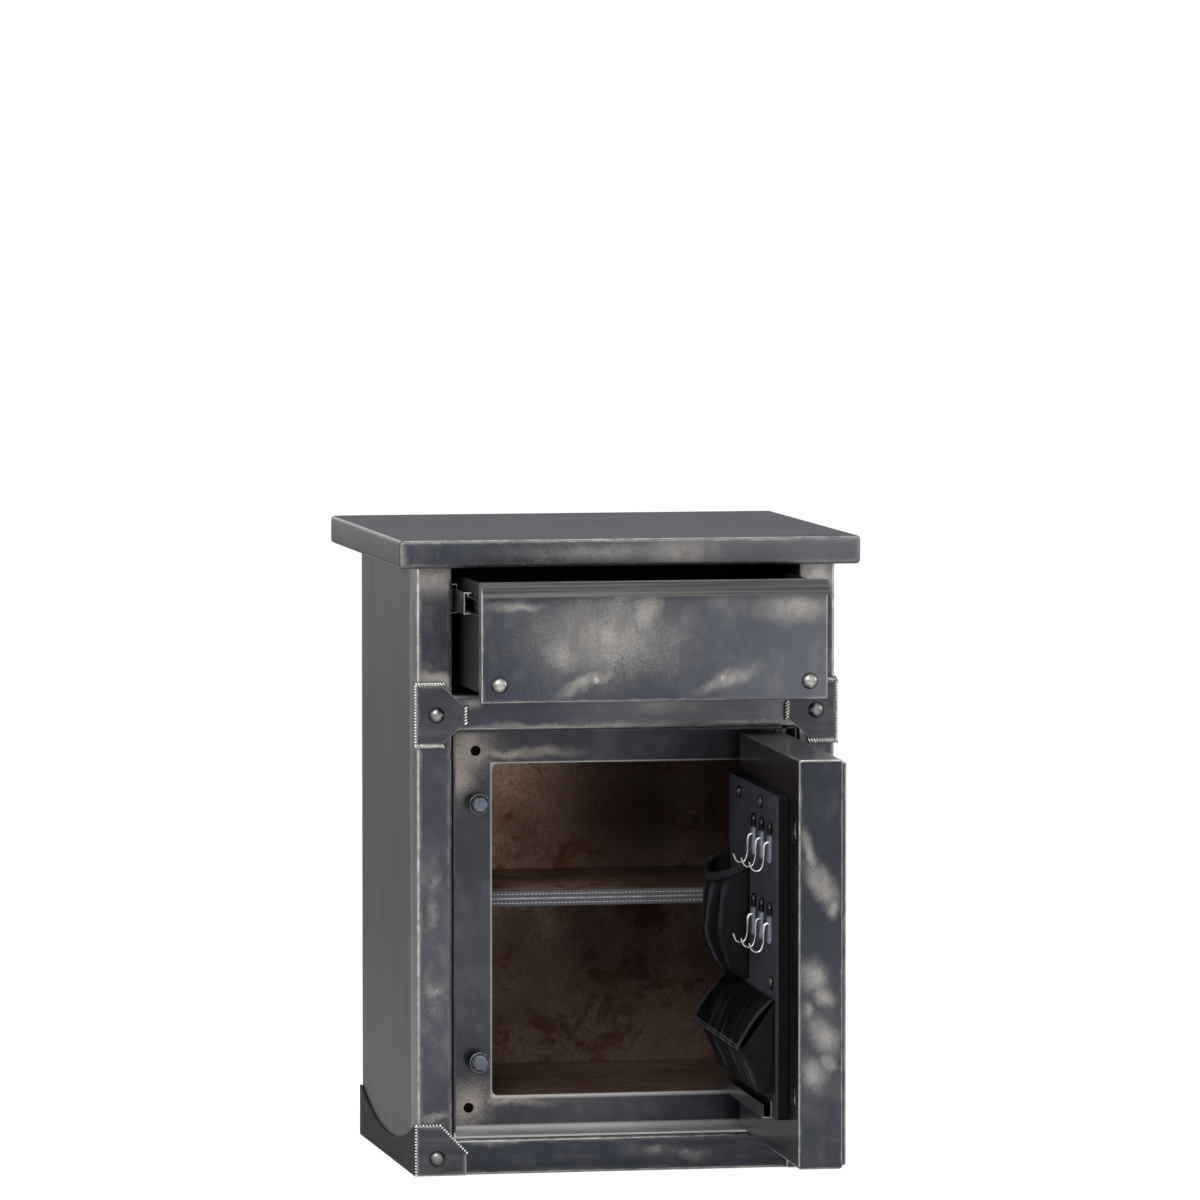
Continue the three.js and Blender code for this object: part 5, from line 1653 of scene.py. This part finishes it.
def boardFinish():
    material, tree, shader = newMaterial("boardCloth", Specular_IOR_Level=0.12)
    place = homeCoords(tree, "door")
    fine = clouds(tree, stretch(tree, place, (1800, 600, 700)), 1.0, 3.0, 0.65)
    soft = clouds(tree, place, 18.0, 4.0, 0.55)
    dark, full = (mm(frontY + depth) for depth in boardLook["rim"])
    front = remap(tree, axes(tree, place)[1], dark, full, 0.0, 1.0)
    share = weigh(tree, (fine, 0.6), (soft, 0.4))
    face = blendColor(tree, remap(tree, share, 0.32, 0.66, 0.0, 1.0), tone(35, 37, 44), tone(54, 56, 65))
    edge = blendColor(tree, fine, tone(6, 6, 7), tone(16, 16, 18))
    color = blendColor(tree, front, edge, face)
    plug(
        tree,
        shader,
        Base_Color=color,
        Roughness=satinOf(tree, soft, 0.66, 0.84),
        Normal=bump(tree, fine, 0.0002),
    )
    return material


def panHead(name, radius, height):
    shares = [(1, 0.35), (0.93, 0.75), (0.7, 1), (0.34, 1), (0.3, 0.7), (0, 0.62)]
    profile = [(0, -0.3), (radius, -0.3), *((radius * r, height * h) for r, h in shares)]
    return lathe(name, profile, 28)


def makeBoard():
    look = boardLook
    dressNode("organizer_board", "door", boardFinish(), 1.0, 3)
    shiny = powderCoat("fastenerBlack", (12, 12, 13), (24, 24, 26), 0.26, "door")
    turn = doorTurn.to_3x3()
    places = [facing(onDoor(x, look["surface"], z), turn @ Vector((0, 1, 0))) for x, z in look["fasteners"]]
    itemsAt(
        "boardFasteners", panHead("boardFastener", *look["fastener"]), places, shiny, "door"
    )
    thread = threadFinish("greyThread", (40, 42, 47), (76, 78, 84))
    low, high = look["heights"]
    x, depth = look["left"] + look["seamInset"], look["surface"] - 0.1
    path = [onDoor(x, depth, low + look["seamEnd"]), onDoor(x, depth, high - look["seamEnd"])]
    outward = tuple(turn @ Vector((-0.7, 0.7, 0)))
    stitch = stitchMesh("edgeStitch", look["stitch"])
    itemsAlong("boardEdgeStitches", stitch, [(path, outward)], look["step"], thread, "door")
    edges = ((-102, frontY + look["surface"], 96), (199, frontY + 84, 150))
    tray = steelFinish("traySteel", "door", edges=edges, **look["tray"])
    dressNode("organizer_tray", "door", tray, 0.4)


hookLook = {
    "columns": [-93, -38, 17],
    "tops": {"upper": 444, "lower": 349},
    "base": {"width": 17, "height": 50, "thickness": 4, "round": 1.6},
    "wire": 2.3,
    "bends": [
        (0.6, 0.0), (4.4, 2.4), (5.7, 11.9), (6.3, 24.5), (9.2, 31.8), (14.2, 33.8), (19.8, 30.6),
        (22.8, 22.8),
    ],
    "spread": 4.2,
    "dark": 17,  # upper part of a base plate that is black
}


def clearFinish():
    material, tree, shader = newMaterial(
        "clearPlastic", Transmission_Weight=0.75, IOR=1.49, Specular_IOR_Level=0.6
    )
    place = homeCoords(tree, "door")
    soft = clouds(tree, place, 90.0, 3.0, 0.5)
    color = blendColor(tree, soft, tone(150, 158, 182), tone(222, 228, 244))
    z = axes(tree, place)[2]
    for top in hookLook["tops"].values():
        foot = top - hookLook["dark"]
        above = remap(tree, z, mm(foot - 2), mm(foot + 2), 0.0, 1.0)
        within = remap(tree, z, mm(top + 1), mm(top + 3), 1.0, 0.0)
        color = blendColor(tree, calc(tree, "MULTIPLY", above, within), color, tone(14, 14, 17))
    plug(
        tree,
        shader,
        Base_Color=color,
        Roughness=satinOf(tree, soft, 0.06, 0.2),
        Normal=bump(tree, soft, 0.0004),
    )
    return material


def hookLeg(x, middle, sign):
    # One of the two wires of a hook: they lie apart at its plate and meet lower down
    look = hookLook
    root = boardLook["surface"] + look["base"]["thickness"] - 1
    path = []
    for out, down in look["bends"]:
        apart = look["spread"] * max(0.0, 1 - down / 24)
        if down < 30 and out < 10:
            apart += look["wire"] / 2 * max(0.0, 1 - down / 30)
        path.append(onDoor(x + sign * apart / 2, root + out, middle - down))
    return tubeMesh("leg", smoothPath(path, 6), look["wire"] if sign > 0 else look["wire"] * 0.98)


def makeHooks():
    look, base = hookLook, hookLook["base"]
    clear = clearFinish()
    wire = plainMetal("hookWire", (150, 150, 152), (220, 219, 216), 0.95, 0.16, 60.0, body="door")
    face, half = frontY + boardLook["surface"], base["width"] / 2
    for row, top in look["tops"].items():
        low = top - base["height"]
        for column, x in enumerate(look["columns"], 1):
            node = f"key_hook_{row}_{column}"
            outline = halfCircle(x, top - half, half - 0.2, 0)
            outline += halfCircle(x, low + half, half - 0.2, math.pi)
            plate = prismMesh(node + "Plate", outline, face, face + base["thickness"])
            piece = newObject(pieceName(node), plate)
            softenEdges(piece, base["round"], 4)
            piece.data.transform(doorTurn)
            finishPiece(piece, "door", clear, node)
            legs = [hookLeg(x, top - base["height"] / 2, sign) for sign in (-1, 1)]
            bent = joinMeshes(pieceName(node) + "Wire", legs)
            finishPiece(newObject(pieceName(node) + "Wire", bent), "door", wire)


makeBoard()
makeHooks()
print("organizer board and hooks made")

# Organizer: sewn pouches

# The third colour of each is the painted sheen on the folds' crests
blackNylon = clothFinish(
    "blackNylon", (9, 9, 11), (22, 22, 26), (66, 68, 78), thread=0.0010, roughness=0.4, gloss=0.07
)
flapNylon = clothFinish(
    "flapNylon", (5, 5, 6), (13, 13, 16), (52, 53, 62), thread=0.0008, roughness=0.34, gloss=0.08
)
darkThread = threadFinish("darkThread", (34, 35, 40), (70, 72, 78))


def clothGrid(name, columns, rows, shape, uvWidth, uvHeight):
    # A grid of points from shape(s, v), s and v from 0 to 1, with a map of its cloth in metres
    # shape also says how much of a fold's crest each point is, which the cloth's finish paints as sheen or
    # shade
    points, faces, cloth, crests = [], [], [], []
    for r in range(rows + 1):
        for c in range(columns + 1):
            point, crest = shape(c / columns, r / rows)
            points.append(point)
            crests.append(crest)
    for r in range(rows):
        for c in range(columns):
            a = r * (columns + 1) + c
            faces.append((a, a + 1, a + columns + 2, a + columns + 1))
            for k in ((c, r), (c + 1, r), (c + 1, r + 1), (c, r + 1)):
                cloth.append((k[0] / columns * uvWidth, k[1] / rows * uvHeight))
    mesh = bpy.data.meshes.new(name)
    mesh.from_pydata([tuple(p) for p in points], [], faces)
    layer = mesh.uv_layers.new(name="cloth")
    for entry, uv in zip(layer.data, cloth):
        entry.uv = uv
    mesh.attributes.new("crest", "FLOAT", "POINT").data.foreach_set("value", crests)
    mesh.shade_smooth()
    return mesh


def ease(t):
    t = min(1.0, max(0.0, t))
    return t * t * (3 - 2 * t)


def fold(x, z, seed, wide=0.02, tall=0.05):  # creases of two sizes, as a smooth noise
    finer = noise.noise(Vector((x / wide * 2.1, z / tall * 2.3, seed + 7.7)))
    return noise.noise(Vector((x / wide, z / tall, seed))) + 0.5 * finer


def closeFoot(mesh, columns, hubOf):
    # Joins the cloth's lowest row to a line inside it, where hubOf(i, where) puts the i-th point
    work = bmesh.new()
    work.from_mesh(mesh)
    work.verts.ensure_lookup_table()
    foot = work.verts[: columns + 1]
    hub = [work.verts.new(hubOf(i, vertex.co)) for i, vertex in enumerate(foot)]
    for i in range(columns):
        corners = (foot[i + 1], foot[i], hub[i])
        if (hub[i].co - hub[i + 1].co).length > 1e-7:
            corners += (hub[i + 1],)
        work.faces.new(corners)
    bmesh.ops.remove_doubles(work, verts=work.verts, dist=2e-6)
    bmesh.ops.recalc_face_normals(work, faces=work.faces)
    work.to_mesh(mesh)
    work.free()
    mesh.shade_smooth()


flapPouchLook = {
    "x": (-118, 197),
    "low": 126,
    "hinge": (2.3, 237),
    "slope": 55,
    "depth": 36.5,
    "corner": 11,
    "belly": 1.6,
    "wrinkle": 2.2,
    "sheet": 1.6,
    "grid": (150, 44),
    "pleats": [  # from the free end, half width, height, slant
        (16, 5, 2.2, 0.10),
        (33, 7, -2.6, 0.16),
        (52, 8, 2.4, 0.22),
        (78, 10, -2.4, 0.3),
        (112, 13, 1.8, 0.34),
        (160, 16, -1.8, 0.3),
        (215, 16, 1.6, 0.2),
    ],
}
flapLook = {
    "length": 73,
    "sheet": 1.5,
    "hem": 7,
    "hemExtra": 1.7,
    "wave": 2.0,
    "bow": 3.0,
    "grid": (120, 34),
    "stitch": (1.2, 0.32, 0.28),
    "step": 3.4,
    "seams": (5.6, 2.2),  # how far in from its edge
    "seamFrom": 0.08,  # where along its length they start
}
flapSlope = math.radians(flapPouchLook["slope"])


def pouchRim(depth):
    # Height of the pouch's cut edge under its flap, at a depth from the board
    return flapPouchLook["hinge"][1] - 4 - depth * math.tan(flapSlope)


def makePouchBody():
    look = flapPouchLook
    left, right = look["x"]
    wide, depth, corner = right - left, look["depth"], look["corner"]
    bend = math.pi / 2 * corner
    lengths = [depth - corner, bend, wide - 2 * corner, bend, depth - corner]
    total = sum(lengths)

    def section(s):
        # Runs out from the board, round a corner, across the front and back
        run = s * total
        for part, length in enumerate(lengths):
            if run <= length or part == 4:
                break
            run -= length
        a = run / corner
        return (
            (0.0, run),
            (corner - corner * math.cos(a), depth - corner + corner * math.sin(a)),
            (corner + run, depth),
            (wide - corner + corner * math.sin(a), depth - corner + corner * math.cos(a)),
            (wide, depth - corner - run),
        )[part]

    def shape(s, v):
        across, out = section(s)
        share = out / depth
        inward = 1 if across < wide / 2 else -1
        top, foot = pouchRim(out), look["low"] + 1.2
        z = foot + (top - foot) * v
        up = (z - foot) / 80
        swell = 0.50 + 0.50 * ease(up * 1.35)
        around = math.sin(math.pi * min(1, max(0, across / wide))) ** 0.35
        belly = math.exp(-((z - 176) / 26) ** 2) * look["belly"] * around * share
        crease = fold(across / 1000, z / 1000, 3.0, 0.034, 0.075) * look["wrinkle"] * share
        crease *= min(1.0, (top - z) / 18 + 0.12)
        for start, half, high, slant in look["pleats"]:
            ridge = high * math.exp(-(((across - start + slant * (z - 160)) / half) ** 2)) * share
            crease += ridge * ease((top - z) / 26) * ease((z - foot) / 22 + 0.15)
        side = fold(out / 1000, z / 1000, 9.0, 0.02, 0.06) * 0.9 * (1 - share)
        pulled = 2.2 * (1 - ease(up * 1.6)) * share
        x = left + across + inward * (pulled - 0.6 * side)
        reach = max(0.15, min(depth + 2.6, out * swell + belly + crease))
        return onDoor(x, boardLook["surface"] + reach, z), crease / 2.4

    def hub(i, where):
        x = (doorTurn.inverted() @ where).x * 1000
        return onDoor(min(max(x, left + 6), right - 6), boardLook["surface"] + 0.4, look["low"] + 0.6)

    columns, rows = look["grid"]
    body = clothGrid("flapPouch", columns, rows, shape, total / 1000, 0.1)
    closeFoot(body, columns, hub)
    pouch = newObject("flapPouch", body)
    giveWall(pouch, look["sheet"])
    finishPiece(pouch, "door", blackNylon, "flap_pouch")


def flapCrease(across, along):
    return fold((across + along * 0.8) / 1000, along / 1000, 21.0, 0.022, 0.07)


def makePouchFlap():
    flap, hinge = flapLook, flapPouchLook["hinge"]
    left, right = flapPouchLook["x"]
    wide = right - left
    outDir = Vector((0, math.cos(flapSlope), -math.sin(flapSlope)))
    offDir = Vector((0, math.sin(flapSlope), math.cos(flapSlope)))

    def flapPoint(s, v, off):
        along = flap["length"] * v
        across = left + 0.5 + (wide - 1) * s
        wave = flap["wave"] * (0.4 + flapCrease(across, along)) * ease(v * 2.2) * ease((1 - v) * 5 + 0.25)
        wave += flap["bow"] * math.sin(math.pi * min(1.0, v * 1.02)) - 0.6
        y = hinge[0] + outDir.y * along + offDir.y * (off + wave)
        z = hinge[1] + outDir.z * along + offDir.z * (off + wave)
        return onDoor(across, boardLook["surface"] + y, z)

    def fromEdge(s, v):
        return min(s * wide, (1 - s) * wide, (1 - v) * flap["length"])

    def hemShare(s, v):
        return 1 - ease((fromEdge(s, v) - flap["hem"]) / 1.2)

    def thickness(s, v):
        edge = ease((fromEdge(s, v) + 0.8) / 2.0)
        hinged = 1 - ease(v * flap["length"] / 4)
        return flap["sheet"] * (0.45 + 0.55 * edge) + flap["hemExtra"] * hemShare(s, v) * edge + hinged * 1.6

    def upper(s, v):
        # The hem counts as a crest too, so it takes the painted sheen
        crest = 1.3 * flapCrease(left + wide * s, flap["length"] * v) + 0.55 * hemShare(s, v)
        return flapPoint(s, v, thickness(s, v) / 2), crest

    def lower(s, v):
        return flapPoint(s, v, -thickness(s, v) / 2), 0.0

    columns, rows = flap["grid"]
    size = (wide / 1000, flap["length"] / 1000)
    work = bmesh.new()
    work.from_mesh(clothGrid("pouchFlap", columns, rows, upper, *size))
    count = len(work.verts)
    work.from_mesh(clothGrid("pouchFlapUnder", columns, rows, lower, *size))
    work.verts.ensure_lookup_table()
    across = columns + 1
    rim = [*range(across)] + [r * across + columns for r in range(1, rows + 1)]
    rim += [rows * across + c for c in range(columns - 1, -1, -1)]
    rim += [r * across for r in range(rows - 1, 0, -1)]
    for face in [f for f in work.faces if f.verts[0].index >= count]:
        face.normal_flip()
    for a, b in zip(rim, rim[1:] + rim[:1]):
        work.faces.new([work.verts[k] for k in (a, b, b + count, a + count)])
    bmesh.ops.recalc_face_normals(work, faces=work.faces)
    sheet = bpy.data.meshes.new("pouchFlap")
    work.to_mesh(sheet)
    work.free()
    sheet.shade_smooth()
    piece = newObject("pouchFlap", sheet)
    finishPiece(piece, "pouch_flap", flapNylon, "pouch_flap")

    seams = []
    for inset in flap["seams"]:
        near, far, start = inset / wide, 1 - inset / flap["length"], flap["seamFrom"]
        line = [(near, start + (far - start) * i / 12) for i in range(13)]
        line += [(near + (1 - 2 * near) * i / 40, far) for i in range(1, 41)]
        line += [(1 - near, far - (far - start) * i / 12) for i in range(1, 13)]
        seams.append([flapPoint(s, v, thickness(s, v) / 2 + 0.12) for s, v in line])
    up = tuple(doorTurn.to_3x3() @ offDir)
    stitch = stitchMesh("flapStitch", flap["stitch"])
    paths = [(points, up) for points in seams]
    itemsAlong("flapStitches", stitch, paths, flap["step"], darkThread, "pouch_flap")


holsterLook = {
    "middle": 124,
    "width": 143,
    "low": 242,
    "height": 143,
    "sheet": 1.7,
    "rimSheet": 2.2,
    "grid": (96, 72),
    "stitch": (1.1, 0.3, 0.28),
    "step": 3.1,
    # Above its foot, out from the board
    "bulge": [(0, 9), (5, 19), (22, 29), (56, 40.5), (82, 41.5), (121, 38), (143, 36)],
    "fall": 0.6,  # how far its cloth sinks where it stands out
    "rim": 10,
    "rimProud": 1.3,
    "wrinkle": 2.4,
    # How much narrower its foot is, as a share of the width
    "taper": {"near": 0.05, "far": 0.22},
    # From the middle, half width, height
    "pleats": [(-52, 6, 2.2), (-36, 6, -2.4), (-16, 8, 2.4), (6, 9, -2.2), (28, 9, 1.8)],
}


def curveAt(table, value):  # a smooth curve through (where, how much) pairs
    value = min(max(value, table[0][0]), table[-1][0])
    last = len(table) - 1
    i = next(k for k in range(last) if value <= table[k + 1][0])

    def slope(k):
        low, high = table[max(k - 1, 0)], table[min(k + 1, last)]
        return (high[1] - low[1]) / (high[0] - low[0])

    (x0, y0), (x1, y1) = table[i], table[i + 1]
    run = x1 - x0
    t = (value - x0) / run
    rest = 1 - t
    ends = (1 + 2 * t) * rest**2 * y0 + t * t * (3 - 2 * t) * y1
    return ends + t * rest**2 * run * slope(i) - t * t * rest * run * slope(i + 1)


def makeHolster():
    look = holsterLook

    def ring(a, t, proud=0.0):
        # Angle a runs from the free side to the hinge side, t from the foot to the rim
        up = look["height"] * t
        bulge = max(math.sin(a), 0) ** 0.72
        out = curveAt(look["bulge"], up) * bulge
        narrow = (1 - t) ** 2 * look["taper"]["near" if a < math.pi / 2 else "far"] * look["width"]
        across = -math.cos(a) * (look["width"] / 2 - narrow)
        crease = fold(across / 1000 + out / 2000, up / 1000, 5.0, 0.02, 0.09) * look["wrinkle"]
        for at, half, high in look["pleats"]:
            crease += high * math.exp(-(((across - at + 0.12 * (up - 70)) / half) ** 2))
        crease *= bulge * ease((1 - t) * 5) * ease(t * 5 + 0.15)
        z = look["low"] + 1 + up * (1 - look["fall"] * out / look["height"])
        reach = 0.3 + max(0.0, out + crease + proud * bulge)
        return onDoor(look["middle"] + across, boardLook["surface"] + reach, z), crease / 2.4

    def hub(i, where):
        across = -math.cos(math.pi * i / columns) * look["width"] * 0.28
        return onDoor(look["middle"] + across, boardLook["surface"] + 0.4, look["low"] + 0.7)

    columns, rows = look["grid"]
    body = clothGrid("holsterPouch", columns, rows, lambda s, v: ring(math.pi * s, v), 0.18, 0.143)
    closeFoot(body, columns, hub)
    pouch = newObject("holsterPouch", body)
    giveWall(pouch, look["sheet"])
    finishPiece(pouch, "door", blackNylon, "holster_pouch")

    start = 1 - look["rim"] / look["height"]

    def rimShape(s, v):
        proud = look["rimProud"] * (0.4 + 0.6 * math.sin(math.pi * v))
        # The rim band takes some painted sheen
        return ring(math.pi * s, start + (1 - start) * v, proud)[0], 0.45

    rim = newObject("holsterRim", clothGrid("holsterRim", columns, 10, rimShape, 0.18, 0.01))
    giveWall(rim, look["rimSheet"], -0.6)
    finishPiece(rim, "door", blackNylon)
    proud = look["rimProud"] * 0.4 + 0.35
    path = [ring(math.pi * (0.03 + 0.94 * i / 60), start + 0.014, proud)[0] for i in range(61)]
    center = onDoor(look["middle"], boardLook["surface"], look["low"] + look["height"])

    def outward(where):
        away = where - center
        away.z = 0
        return tuple(away.normalized())

    stitch = stitchMesh("holsterStitch", look["stitch"])
    itemsAlong("holsterStitches", stitch, [(path, outward)], look["step"], darkThread, "door")


makePouchBody()
makePouchFlap()
makeHolster()
print("pouches sewn")
